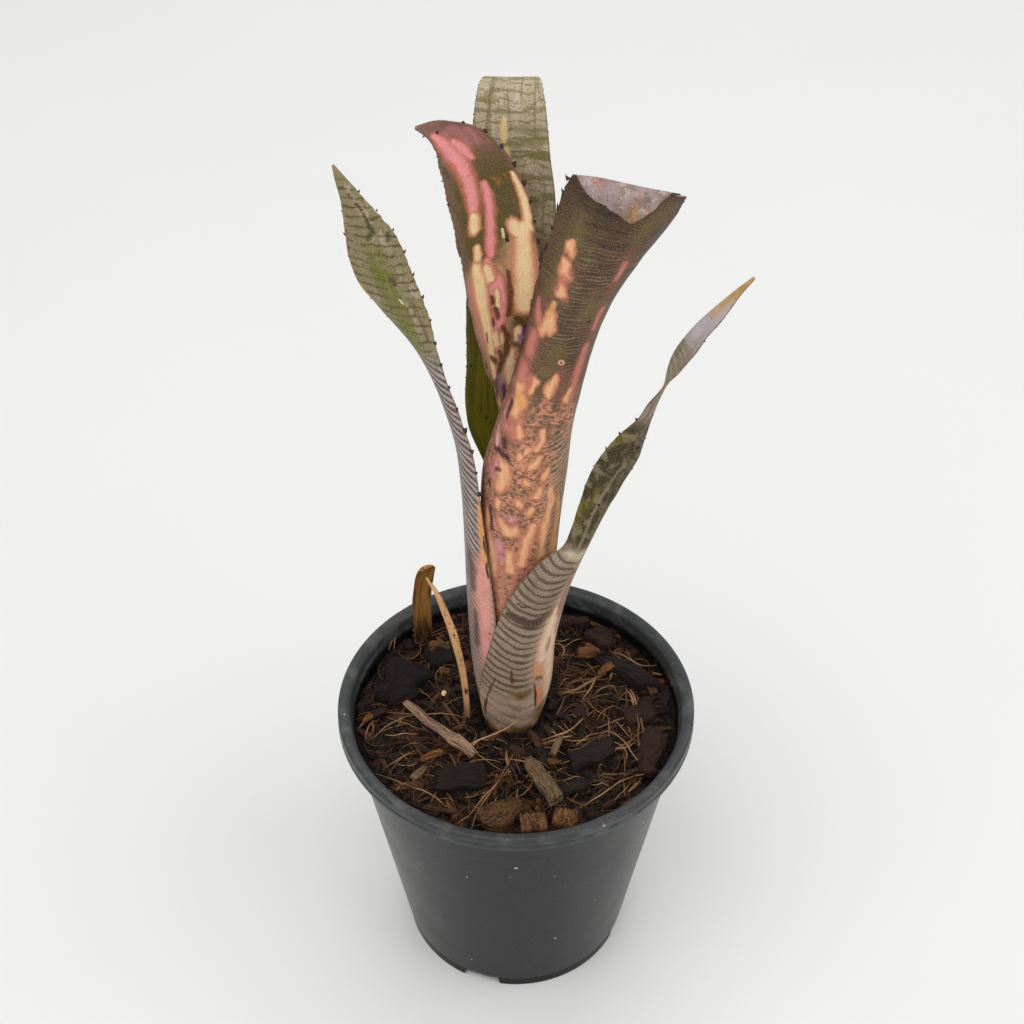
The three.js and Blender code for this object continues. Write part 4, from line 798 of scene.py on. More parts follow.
leaves["leaf_stub"] = {
    "mesh": (70, 16), "seed": 23, "thick": 1.0, "wave": 0.3, "ripple": 0.3, "free": 10, "slot": "dry_leaf",
    "rows": [
        [-36, 40.6, leafFoot, 205, 0, 4.2, 60], [-36.6, 41, 116, 205, 0, 4.4, 60],
        [-36.4, 41.4, 130, 204, 0, 4.4, 55], [-35, 41, 140, 202, 0, 4.2, 50],
        [-33.6, 39.8, 145.4, 200, 0, 3.8, 44], [-32.4, 38.2, 146.8, 198, 0, 2.8, 40]],
    "outer": {"ground": "#b0834c", "marks": [
        {"colour": "#6d4a22", "across": 0.6, "along": 0.05, "cut": (0.45, 0.65), "strength": 0.85},
        {"colour": "#b98c54", "across": 0.8, "along": 0.08, "cut": (0.58, 0.7), "strength": 0.7, "seed": 2.0},
        {"colour": "#3d2412", "across": 0.1, "along": 0.05, "cut": (0.2, 0.5), "reach": (-10, 17, 7)}]},
    "spots": {"rate": 0.4, "size": 0.14, "colour": "#2c1a0c"},
    "margin": "#7a5428", "marginFrom": 0.9, "browned": 6, "gloss": 0.38, "relief": 0.0005,
}
leaves["leaf_bract"] = {
    "mesh": (90, 14), "seed": 27, "thick": 0.7, "wave": 0.3, "ripple": 0.3, "free": 10, "slot": "dry_leaf",
    "rows": [
        [-18.8, 1, leafFoot, 285, 0, 2.8, 40], [-18.8, 0.6, 115, 290, 0, 3, 40],
        [-20.2, 0.8, 132, 300, 0, 3.2, 36], [-23.4, 1.6, 150, 310, 0, 3.2, 34],
        [-27.4, 2.6, 165, 315, 0, 2, 30], [-30.8, 3.4, 173, 320, 0, 0.4, 20]],
    "outer": {"ground": "#dcb084", "marks": [
        {"colour": "#dcb186", "across": 0.5, "along": 0.05, "cut": (0.45, 0.65), "strength": 0.8},
        {"colour": "#b0764a", "across": 0.8, "along": 0.05, "cut": (0.55, 0.7), "strength": 0.7, "seed": 2.0},
        {"colour": "#5c2f1c", "across": 0.7, "along": 0.5, "cut": (0.58, 0.64), "reach": (26, 62, 6),
         "strength": 0.9, "seed": 3.0},
        {"colour": "#8f6a44", "across": 0.3, "along": 0.05, "cut": (0.2, 0.5), "reach": (-10, 14, 5)}]},
    "paint": {"stain": {"colour": "#2b1a12", "soft": 0.4, "strokes": [[(0.6, 21, 0.5), (0.75, 23.5, 0.8)]]}},
    "spots": {"rate": 0.6, "size": 0.16, "colour": "#4a2416"},
    "margin": "#a9764a", "marginFrom": 0.9, "browned": 3, "gloss": 0.4, "relief": 0.0004,
}

# Spines: the side and the share of the leaf that bears them, the spacing and the length in millimetres.
spineRows = {
    "leaf_hood": [(-1, 0.5, 0.86, 6.6, 1.9), (1, 0.55, 0.95, 7.5, 0.8)],
    "leaf_tall": [(1, 0.36, 0.7, 4.2, 0.7), (1, 0.7, 0.93, 1.7, 0.45), (-1, 0.7, 0.93, 2.0, 0.4)],
    "leaf_funnel": [(-1, 0.42, 0.72, 7.0, 2.0), (1, 0.5, 0.7, 9.0, 1.2)],
    "leaf_left": [(1, 0.36, 0.58, 7.4, 2.0), (1, 0.58, 0.93, 7.0, 1.0), (-1, 0.5, 0.9, 8.0, 0.8)],
    "leaf_right": [(1, 0.48, 0.8, 12.0, 1.0), (-1, 0.52, 0.9, 9.0, 1.0)],
    "leaf_old": [(1, 0.6, 0.95, 9.0, 0.9), (-1, 0.6, 0.95, 9.0, 0.9)],
}


def spineTree():
    tree, given = newTree("marginSpines", {
        "Spacing": "Float", "Length": "Float", "Seed": "Int", "Material": "Material"})
    curve = addNode(tree, "GeometryNodeMeshToCurve", {0: given["Geometry"]})
    stops = addNode(tree, "GeometryNodeResampleCurve",
                    {"Curve": curve.outputs[0], "Length": given["Spacing"]}, mode="LENGTH")
    cone = addNode(tree, "GeometryNodeMeshCone", {
        "Vertices": 8, "Side Segments": 4, "Radius Top": 0.02, "Radius Bottom": 0.5, "Depth": 1.0})
    height = addNode(tree, "ShaderNodeSeparateXYZ", {0: addNode(tree, "GeometryNodeInputPosition").outputs[0]})
    lean = addNode(tree, "ShaderNodeMath", {0: height.outputs[2], 1: 2.0}, operation="POWER")
    hook = addNode(tree, "ShaderNodeMath", {0: lean.outputs[0], 1: 0.45}, operation="MULTIPLY")
    bent = addNode(tree, "GeometryNodeSetPosition", {
        "Geometry": cone.outputs[0],
        "Offset": addNode(tree, "ShaderNodeCombineXYZ", {0: hook.outputs[0]}).outputs[0]})
    outward = addNode(tree, "GeometryNodeInputNamedAttribute", {"Name": "outward"}, data_type="FLOAT_VECTOR")
    forward = addNode(tree, "GeometryNodeInputNamedAttribute", {"Name": "forward"}, data_type="FLOAT_VECTOR")
    stand = addNode(tree, "FunctionNodeAlignRotationToVector", {"Vector": outward.outputs[0]}, axis="Z")
    turned = addNode(tree, "FunctionNodeAlignRotationToVector",
                     {"Rotation": stand.outputs[0], "Vector": forward.outputs[0]}, axis="X", pivot_axis="Z")
    chance = addNode(tree, "FunctionNodeRandomValue", {2: 0.55, 3: 1.2, "Seed": given["Seed"]}, data_type="FLOAT")
    size = addNode(tree, "ShaderNodeMath", {0: chance.outputs[1], 1: given["Length"]}, operation="MULTIPLY")
    flat = addNode(tree, "ShaderNodeCombineXYZ", {0: 1.1, 1: 0.42, 2: 1.0})
    scale = addNode(tree, "ShaderNodeVectorMath", {0: flat.outputs[0], "Scale": size.outputs[0]}, operation="SCALE")
    spines = addNode(tree, "GeometryNodeInstanceOnPoints", {
        "Points": stops.outputs[0], "Instance": bent.outputs[0], "Rotation": turned.outputs[0],
        "Scale": scale.outputs[0]})
    smooth = addNode(tree, "GeometryNodeSetShadeSmooth", {0: spines.outputs[0]})
    return endTree(tree, smooth.outputs[0], given["Material"])


def spineLook():
    look = Look("spine")
    point = look.objectPoint()
    grain = look.noise(point, 2200.0, 2.0)
    base = look.mix(look.step(grain, 0.35, 0.7), "#1d1214", "#4a2b26")
    return look.finish(base, 0.4, grain, 0.00008)


def marginLine(name, leaf, side, low, high):  # the margin as a line that knows where out and forward are
    count = 60
    t = np.linspace(low, high, count)
    frames = leafFrames(leaf["rows"], t)
    edge = leafPoints(frames, np.full((count, 1), side * 0.985), np.zeros((count, 1)))[:, 0]
    within = leafPoints(frames, np.full((count, 1), side * 0.9), np.zeros((count, 1)))[:, 0]
    mesh = bpy.data.meshes.new(name)
    mesh.from_pydata([tuple(p) for p in edge * millimetre], [(k, k + 1) for k in range(count - 1)], [])
    line = bpy.data.objects.new(name, mesh)
    shown.link(line)
    storeNumbers(line, "outward", unit(edge - within) + 0.35 * frames["along"])
    storeNumbers(line, "forward", frames["along"])
    return line


def joined(objects, name):
    mesh = bmesh.new()
    for item in objects:
        mesh.from_mesh(item.data)
    data = bpy.data.meshes.new(name)
    mesh.to_mesh(data)
    mesh.free()
    for material in objects[0].data.materials:
        data.materials.append(material)
    for item in objects:
        bpy.data.objects.remove(item)
    made = bpy.data.objects.new(name, data)
    shown.link(made)
    return made


def makeLeaves():
    tree, thorn = spineTree(), spineLook()
    for name, leaf in leaves.items():
        piece = leafObject(name + "_blade", leaf, leafLook(name, leaf))
        place(piece, leaf["slot"], name)
        rows = []
        for k, (side, low, high, spacing, length) in enumerate(spineRows.get(name, [])):
            line = marginLine(f"{name}_margin{k}", leaf, side, low, high)
            values = {"Spacing": spacing * millimetre, "Length": length * millimetre,
                      "Seed": leaf["seed"] + k, "Material": thorn}
            rows.append(runTree(line, tree, values, f"{name}_row{k}"))
        if rows:
            place(joined(rows, name + "_spines"), leaf["slot"])
        print("leaf", name, len(piece.data.polygons), "faces")


# The pot: radii and heights of its wall as the frame's pot has them, with rounded corners.
pot = {
    "height": 117, "rimRadius": 65, "rimDepth": 6, "rimInner": 60.4, "rimDrop": 0.8, "wallTop": 61.4,
    "wallFoot": 43.9, "thickness": 1.4, "ledge": 97, "ledgeStep": 0.6, "footRadius": 43.2, "footWidth": 2.2,
    "footHeight": 4.3, "floor": 1.6, "sides": 160, "notches": 4, "notchWidth": 15, "notchAngle": -108,
    "drainRadius": 5, "drainSlot": (5, 12),
}


def wallRadius(z):
    low = pot["footHeight"] + 1.2
    slope = (pot["wallTop"] - pot["ledgeStep"] - pot["wallFoot"]) / (pot["height"] - pot["rimDepth"] - low)
    return pot["wallFoot"] + slope * (z - low) + (pot["ledgeStep"] if z > pot["ledge"] else 0)


def roundedOutline(corners, steps=4):  # corners are (radius, height, size of the round)
    points = []
    for k, (r, z, size) in enumerate(corners):
        here = np.array([r, z], float)
        if size == 0 or k in (0, len(corners) - 1):
            points.append(here)
            continue
        before, after = (np.array(corners[k + j][:2], float) for j in (-1, 1))
        start = here + (before - here) * min(0.45, size / np.linalg.norm(before - here))
        end = here + (after - here) * min(0.45, size / np.linalg.norm(after - here))
        for f in np.linspace(0, 1, steps + 1):
            points.append(start * (1 - f) ** 2 + here * 2 * f * (1 - f) + end * f ** 2)
    return points


def latheObject(name, outline, sides, material, wobble=0.0):
    points, faces, rows = [], [], []
    for r, z in outline:
        if r < 1e-6:
            rows.append([len(points)])
            points.append((0, 0, z))
            continue
        rows.append(list(range(len(points), len(points) + sides)))
        for k in range(sides):
            angle = 2 * math.pi * k / sides
            shift = wobble * noise.noise(Vector((math.cos(angle), math.sin(angle), z * 0.02)))
            points.append(((r + shift) * math.cos(angle), (r + shift) * math.sin(angle), z))
    for low, high in zip(rows, rows[1:]):
        for k in range(sides):
            n = (k + 1) % sides
            if len(low) == 1:
                faces.append((low[0], high[n], high[k]))
            elif len(high) == 1:
                faces.append((low[k], low[n], high[0]))
            else:
                faces.append((low[k], low[n], high[n], high[k]))
    return meshObject(name, points, faces, material)


def potLook():
    look = Look("pot_plastic")
    point = look.objectPoint()
    x, y, z = look.split(point)
    angle = look.math("ARCTAN2", y, x)
    round3 = look.join(look.math("MULTIPLY", angle, 0.06), look.math("MULTIPLY", z, 1.0), 0.0)
    cloud = look.noise(point, 60.0, 4.0, 0.6)
    base = look.mix(look.step(cloud, 0.35, 0.7), "#0b0d0d", "#121514")
    rimHeight = look.step(z, 0.1095, 0.1125)
    scuff = look.noise(look.join(look.math("MULTIPLY", angle, 1.3), look.math("MULTIPLY", z, 60.0)), 6.0, 6.0, 0.75)
    smear = look.noise(point, 45.0, 5.0, 0.7, 1.5)
    chalk = look.math("MULTIPLY", look.step(look.math("MULTIPLY", scuff, smear), 0.2, 0.38), rimHeight)
    base = look.mix(look.math("MULTIPLY", chalk, 0.75), base, "#a3a5a4")
    dust = look.math("MULTIPLY", look.step(smear, 0.5, 0.8), 0.12)
    base = look.mix(dust, base, "#4a4c49")
    # The rim, from about 110 mm up, is painted a lighter grey: a painted highlight along the rim
    base = look.mix(look.math("MULTIPLY", rimHeight, 0.8), base, "#414343")
    speck = look.dots(point, 130.0, 0.1)
    base = look.mix(look.math("MULTIPLY", speck, 0.7), base, "#b9bab4")
    scratch = look.step(look.noise(look.stretch(point, (900.0, 900.0, 60.0)), 1.0, 2.0, 0.5, 2.0), 0.68, 0.74)
    base = look.mix(look.math("MULTIPLY", scratch, 0.12), base, "#8d908c")
    soiled = look.math("MULTIPLY", look.step(look.noise(point, 120.0, 4.0, 0.7), 0.5, 0.7), look.span(z, 0.1, 0.1135, 0.002))
    inside = look.step(look.math("SQRT", look.math("ADD", look.math("MULTIPLY", x, x), look.math("MULTIPLY", y, y))), 0.0607, 0.0602)
    base = look.mix(look.math("MULTIPLY", look.math("MULTIPLY", soiled, inside), 0.4), base, "#3a2a1e")
    moulding = look.noise(round3, 900.0, 2.0, 0.5)
    fine = look.noise(point, 3500.0, 2.0, 0.5)
    height = look.math("ADD", look.math("MULTIPLY", moulding, 0.6), look.math("ADD", look.math("MULTIPLY", fine, 0.5), scratch))
    rough = look.math("ADD", look.math("MULTIPLY", cloud, 0.2), look.math("ADD", look.math("MULTIPLY", chalk, 0.3), 0.2))
    return look.finish(base, rough, height, 0.00004, 0.2)


def blockPoints(size, at, turn, taper=0.0):  # a box whose top is narrower by the taper at each side
    corners = []
    for z in (-0.5, 0.5):
        for sx, sy in ((-0.5, -0.5), (0.5, -0.5), (0.5, 0.5), (-0.5, 0.5)):
            x, y = sx * size[0], sy * (size[1] - (taper * 2 if z > 0 else 0))
            corners.append((at[0] + x * math.cos(turn) - y * math.sin(turn),
                            at[1] + x * math.sin(turn) + y * math.cos(turn), at[2] + z * size[2]))
    faces = [(0, 3, 2, 1), (4, 5, 6, 7), (0, 1, 5, 4), (1, 2, 6, 5), (2, 3, 7, 6), (3, 0, 4, 7)]
    return corners, faces


def makePot():
    top, floorTop = pot["height"], pot["footHeight"] + pot["floor"]
    underRim, inTop = top - pot["rimDepth"], top - pot["rimDrop"]
    foot, rim, ledge = pot["footRadius"], pot["rimRadius"], pot["ledge"]
    groove = top - 0.6 * pot["rimDepth"]
    corners = [
        (0, pot["footHeight"], 0), (foot - pot["footWidth"], pot["footHeight"], 0.3),
        (foot - pot["footWidth"], 0, 0.4), (foot, 0, 0.5), (foot, pot["footHeight"], 0.4),
        (wallRadius(5.5), 5.5, 0.6), (wallRadius(ledge), ledge, 0.25), (wallRadius(ledge + 0.5), ledge + 0.5, 0.25),
        (wallRadius(underRim), underRim, 0.3), (rim - 0.5, underRim, 0.4), (rim, underRim + 0.6, 0.4),
        (rim, groove - 0.35, 0.2), (rim - 0.4, groove, 0.2), (rim - 0.1, groove + 0.35, 0.2),
        (rim - 0.1, top - 0.9, 0.5), (rim - 1.0, top, 0.6), (pot["rimInner"] + 1.2, inTop, 0.8),
        (pot["rimInner"], inTop - 1.0, 0.8), (wallRadius(ledge) - pot["thickness"], ledge, 0.5),
        (wallRadius(floorTop) - pot["thickness"], floorTop, 1.0), (0, floorTop, 0)]
    body = latheObject("pot_body", roundedOutline(corners), pot["sides"], potLook(), 0.12)
    cutPoints, cutFaces = [], []
    for k in range(pot["notches"]):
        turn = math.radians(pot["notchAngle"] + 360 / pot["notches"] * k)
        out = np.array([math.cos(turn), math.sin(turn)])
        notchAt = (*(out * (foot - 3.5)), 0)
        slotAt = (*(out * (foot - 7)), pot["footHeight"])
        for size, at, taper in (((9.4, pot["notchWidth"] + 1.5, 7.6), notchAt, 1.6), ((*pot["drainSlot"], 8), slotAt, 0)):
            corners3, faces3 = blockPoints(size, at, turn, taper)
            cutFaces += [tuple(i + len(cutPoints) for i in face) for face in faces3]
            cutPoints += corners3
    drill = 24
    ring = [(pot["drainRadius"] * math.cos(2 * math.pi * k / drill), pot["drainRadius"] * math.sin(2 * math.pi * k / drill))
            for k in range(drill)]
    first = len(cutPoints)
    cutPoints += [(x, y, z) for z in (1, 10) for x, y in ring]
    cutFaces += [tuple(first + k for k in reversed(range(drill))), tuple(first + drill + k for k in range(drill))]
    cutFaces += [(first + k, first + (k + 1) % drill, first + drill + (k + 1) % drill, first + drill + k)
                 for k in range(drill)]
    cutter = meshObject("pot_cutter", cutPoints, cutFaces, None, False)
    cut = body.modifiers.new("notches", "BOOLEAN")
    cut.operation, cut.solver, cut.object = "DIFFERENCE", "EXACT", cutter
    piece = evaluatedMesh(body, "pot_shell")
    bpy.data.objects.remove(cutter)
    piece.data.set_sharp_from_angle(angle=math.radians(40))
    place(piece, "pot_plastic", "pot")
    print("pot", len(piece.data.polygons), "faces")


# The mix: a rough top between the sheaths and the pot's wall on a plain plug, with crumbs, shards and fibres.
soil = {
    "level": 106.6, "outer": 59.0, "inner": 8.8, "wellFloor": 98.2, "footLevel": 6.2, "footRadius": 42.2,
    "rings": 120, "sides": 460, "lumps": [(0.075, 1.8), (0.19, 1.7), (0.45, 1.2), (1.1, 0.6)], "seed": 4,
    "crumbs": 1250, "crumbSize": (1.0, 3.0), "shards": 1500, "shardSize": (2.6, 8.5), "splinters": 230,
    "strandSides": 5, "looseStrands": 620,
}


def soilHeights(xy):
    xy = np.asarray(xy, float)
    flat = np.concatenate([xy, np.zeros((len(xy), 1))], 1)
    height = np.full(len(xy), float(soil["level"]))
    for k, (rate, size) in enumerate(soil["lumps"]):
        height += size * roughness3(flat, rate, soil["seed"] + k)
    near = np.hypot(xy[:, 0] - tubeCentre[0], xy[:, 1] - tubeCentre[1])
    return height - 1.2 * np.clip((24 - near) / 9, 0, 1)


def soilGrid(rings, sides, inner):
    turn = np.linspace(0, 2 * math.pi, sides, endpoint=False)
    way = np.stack([np.cos(turn), np.sin(turn)], -1)
    share = np.linspace(0, 1, rings + 1)[:, None, None]
    ring = np.array(tubeCentre) + inner * way
    xy = (ring * (1 - share) + soil["outer"] * way * share).reshape(-1, 2)
    points = np.concatenate([xy, soilHeights(xy)[:, None]], 1)
    quad = lambda r, k: (r * sides + k, (r + 1) * sides + k, (r + 1) * sides + (k + 1) % sides, r * sides + (k + 1) % sides)
    return points, [quad(r, k) for r in range(rings) for k in range(sides)], way


def soilLook():
    look = Look("mix_crumb")
    point = look.objectPoint()
    lump = look.noise(point, 160.0, 4.0, 0.65)
    crumb = look.noise(point, 900.0, 5.0, 0.7, 0.6)
    base = look.mix(look.step(lump, 0.35, 0.65), "#0a0604", "#1b100a")
    base = look.mix(look.step(crumb, 0.5, 0.68), base, "#301d12")
    base = look.mix(look.math("MULTIPLY", look.step(look.noise(point, 420.0, 3.0), 0.62, 0.7), 0.6), base, "#4a2a17")
    base = look.mix(look.math("MULTIPLY", look.dots(point, 700.0, 0.14), 0.25), base, "#6b5741")
    return look.finish(base, 0.85, look.math("ADD", crumb, look.math("MULTIPLY", lump, 0.8)), 0.0012, 0.25)


def chipLook(name, tones):  # small pieces, of which each has its own tone
    look = Look(name)
    point = look.objectPoint()
    tone = look.attribute("tone")
    local = look.attribute("grain", "Vector")
    fibre = look.noise(look.stretch(local, (1.2, 9.0, 9.0)), 1.0, 4.0, 0.65)
    base = look.mix(look.step(tone, 0.1, 0.45), tones[0], tones[1])
    base = look.mix(look.step(tone, 0.62, 0.78), base, tones[2])
    base = look.mix(look.step(tone, 0.9, 0.97), base, tones[3])
    base = look.mix(look.math("MULTIPLY", look.step(fibre, 0.5, 0.7), 0.55), base, tones[4])
    base = look.mix(look.math("MULTIPLY", look.step(fibre, 0.45, 0.3), 0.6), base, "#0f0906")
    fine = look.noise(point, 1500.0, 3.0, 0.6)
    return look.finish(base, 0.75, look.math("ADD", fibre, look.math("MULTIPLY", fine, 0.4)), 0.0006, 0.25)


def seedShape(name, kind, seed):  # a crumb or a shard one unit long, with few faces
    mesh = bmesh.new()
    if kind == "crumb":
        bmesh.ops.create_icosphere(mesh, subdivisions=2, radius=0.5)
        size = (1.0, 0.8, 0.65)
    else:
        bmesh.ops.create_grid(mesh, x_segments=5, y_segments=2, size=0.5)
        faces = bmesh.ops.extrude_face_region(mesh, geom=list(mesh.faces))
        lifted = [v for v in faces["geom"] if isinstance(v, bmesh.types.BMVert)]
        bmesh.ops.translate(mesh, verts=lifted, vec=(0, 0, 1.0))
        bmesh.ops.recalc_face_normals(mesh, faces=list(mesh.faces))
        size = (1.0, 0.34, 0.13) if kind == "shard" else (1.0, 0.12, 0.07)
    shift = Vector((seed * 3.7, seed * 1.9, seed))
    for v in mesh.verts:
        pull = noise.noise_vector(v.co * 1.7 + shift) * 0.42 + noise.noise_vector(v.co * 4.1 + shift) * 0.18
        point = v.co + pull
        v.co = Vector((point.x * size[0], point.y * size[1], point.z * size[2]))
    data = bpy.data.meshes.new(name)
    mesh.to_mesh(data)
    mesh.free()
    made = bpy.data.objects.new(name, data)
    storeNumbers(made, "grain", np.array([tuple(v.co * 4) for v in data.vertices]) + seed)
    return made


def scatterTree():
    tree, given = newTree("scatterPieces", {
        "Pieces": "Collection", "Count": "Float", "Smallest": "Float", "Largest": "Float",
        "Tilt": "Float", "Sink": "Float", "Seed": "Int", "Material": "Material"})
    spread = addNode(tree, "GeometryNodeDistributePointsOnFaces",
                     {"Mesh": given["Geometry"], "Density": given["Count"], "Seed": given["Seed"]})
    lower = addNode(tree, "ShaderNodeMath", {0: given["Sink"], 1: -1.0}, operation="MULTIPLY")
    down = addNode(tree, "ShaderNodeCombineXYZ", {2: lower.outputs[0]})
    sunk = addNode(tree, "GeometryNodeSetPosition", {"Geometry": spread.outputs[0], "Offset": down.outputs[0]})
    pieces = addNode(tree, "GeometryNodeCollectionInfo",
                     {"Collection": given["Pieces"], "Separate Children": True, "Reset Children": True})
    steepness = addNode(tree, "ShaderNodeMath", {0: given["Tilt"], 1: -1.0}, operation="MULTIPLY")
    low = addNode(tree, "ShaderNodeCombineXYZ", {0: steepness.outputs[0], 1: steepness.outputs[0], 2: -3.14})
    high = addNode(tree, "ShaderNodeCombineXYZ", {0: given["Tilt"], 1: given["Tilt"], 2: 3.14})
    turn = addNode(tree, "FunctionNodeRandomValue",
                   {0: low.outputs[0], 1: high.outputs[0], "Seed": given["Seed"]}, data_type="FLOAT_VECTOR")
    size = addNode(tree, "FunctionNodeRandomValue", {2: 0.0, 3: 1.0, "Seed": given["Seed"]}, data_type="FLOAT")
    small = addNode(tree, "ShaderNodeMath", {0: size.outputs[1], 1: 2.2}, operation="POWER")
    scale = addNode(tree, "ShaderNodeMapRange", {
        "Value": small.outputs[0], "To Min": given["Smallest"], "To Max": given["Largest"]})
    laid = addNode(tree, "GeometryNodeInstanceOnPoints", {
        "Points": sunk.outputs[0], "Instance": pieces.outputs[0], "Pick Instance": True,
        "Rotation": turn.outputs[0], "Scale": scale.outputs[0]})
    tone = addNode(tree, "FunctionNodeRandomValue", {2: 0.0, 3: 1.0, "Seed": 77}, data_type="FLOAT")
    toned = addNode(tree, "GeometryNodeStoreNamedAttribute", {
        "Geometry": laid.outputs[0], "Name": "tone", "Value": tone.outputs[1]}, data_type="FLOAT", domain="INSTANCE")
    return endTree(tree, toned.outputs[0], given["Material"])


def makeSoil():
    points, faces, way = soilGrid(soil["rings"], soil["sides"], soil["inner"])
    sides, rings = soil["sides"], soil["rings"]
    extra, top = [], len(points)
    well = np.array(tubeCentre) + (soil["inner"] - 0.4) * way
    foot = soil["footRadius"] * way
    extra += [(x, y, soil["wellFloor"]) for x, y in well] + [(x, y, soil["footLevel"]) for x, y in foot]
    points = np.concatenate([points, extra, [(*tubeCentre, soil["wellFloor"])], [(0, 0, soil["footLevel"])]])
    for k in range(sides):
        n = (k + 1) % sides
        faces.append((k, n, top + n, top + k))
        faces.append((top + k, top + n, len(points) - 2))
        faces.append((rings * sides + n, rings * sides + k, top + sides + k, top + sides + n))
        faces.append((top + sides + n, top + sides + k, len(points) - 1))
    piece = meshObject("mix_soil", points, faces, soilLook())
    place(piece, "potting_mix", "potting_mix")
    tree = scatterTree()
    tones = ("#120b08", "#231612", "#38221a", "#6a4426", "#4a2e1c")
    areaOfTop = math.pi * (soil["outer"] ** 2 - 15.5 ** 2) * millimetre ** 2
    kinds = (("crumb", soil["crumbs"], soil["crumbSize"], 3.1, 0.3),
             ("shard", soil["shards"], soil["shardSize"], 0.45, 0.1),
             ("splinter", soil["splinters"], (4.0, 13.0), 0.3, -0.5))
    for k, (kind, count, size, tilt, sink) in enumerate(kinds):
        shapes = bpy.data.collections.new(kind + "Shapes")
        for j in range(6):
            shapes.objects.link(seedShape(f"{kind}{j}", kind, 10 * k + j + 1))
        points, faces, way = soilGrid(26, 90, 15.6)
        points[:, :2] *= 0.975
        carrier = meshObject(kind + "Ground", points, faces)
        look = chipLook("mix_" + kind, tones if kind != "splinter" else
                        ("#26170e", "#3f2817", "#5f3f22", "#a07a4c", "#7a552f"))
        values = {"Pieces": shapes, "Count": count / areaOfTop, "Smallest": size[0] * millimetre,
                  "Largest": size[1] * millimetre, "Tilt": tilt, "Sink": sink * millimetre, "Seed": 5 + k,
                  "Material": look}
        made = runTree(carrier, tree, values, f"mix_{kind}s")
        for item in list(shapes.objects):
            bpy.data.objects.remove(item)
        bpy.data.collections.remove(shapes)
        place(made, "potting_mix")
        print("mix", kind, len(made.data.polygons), "faces")


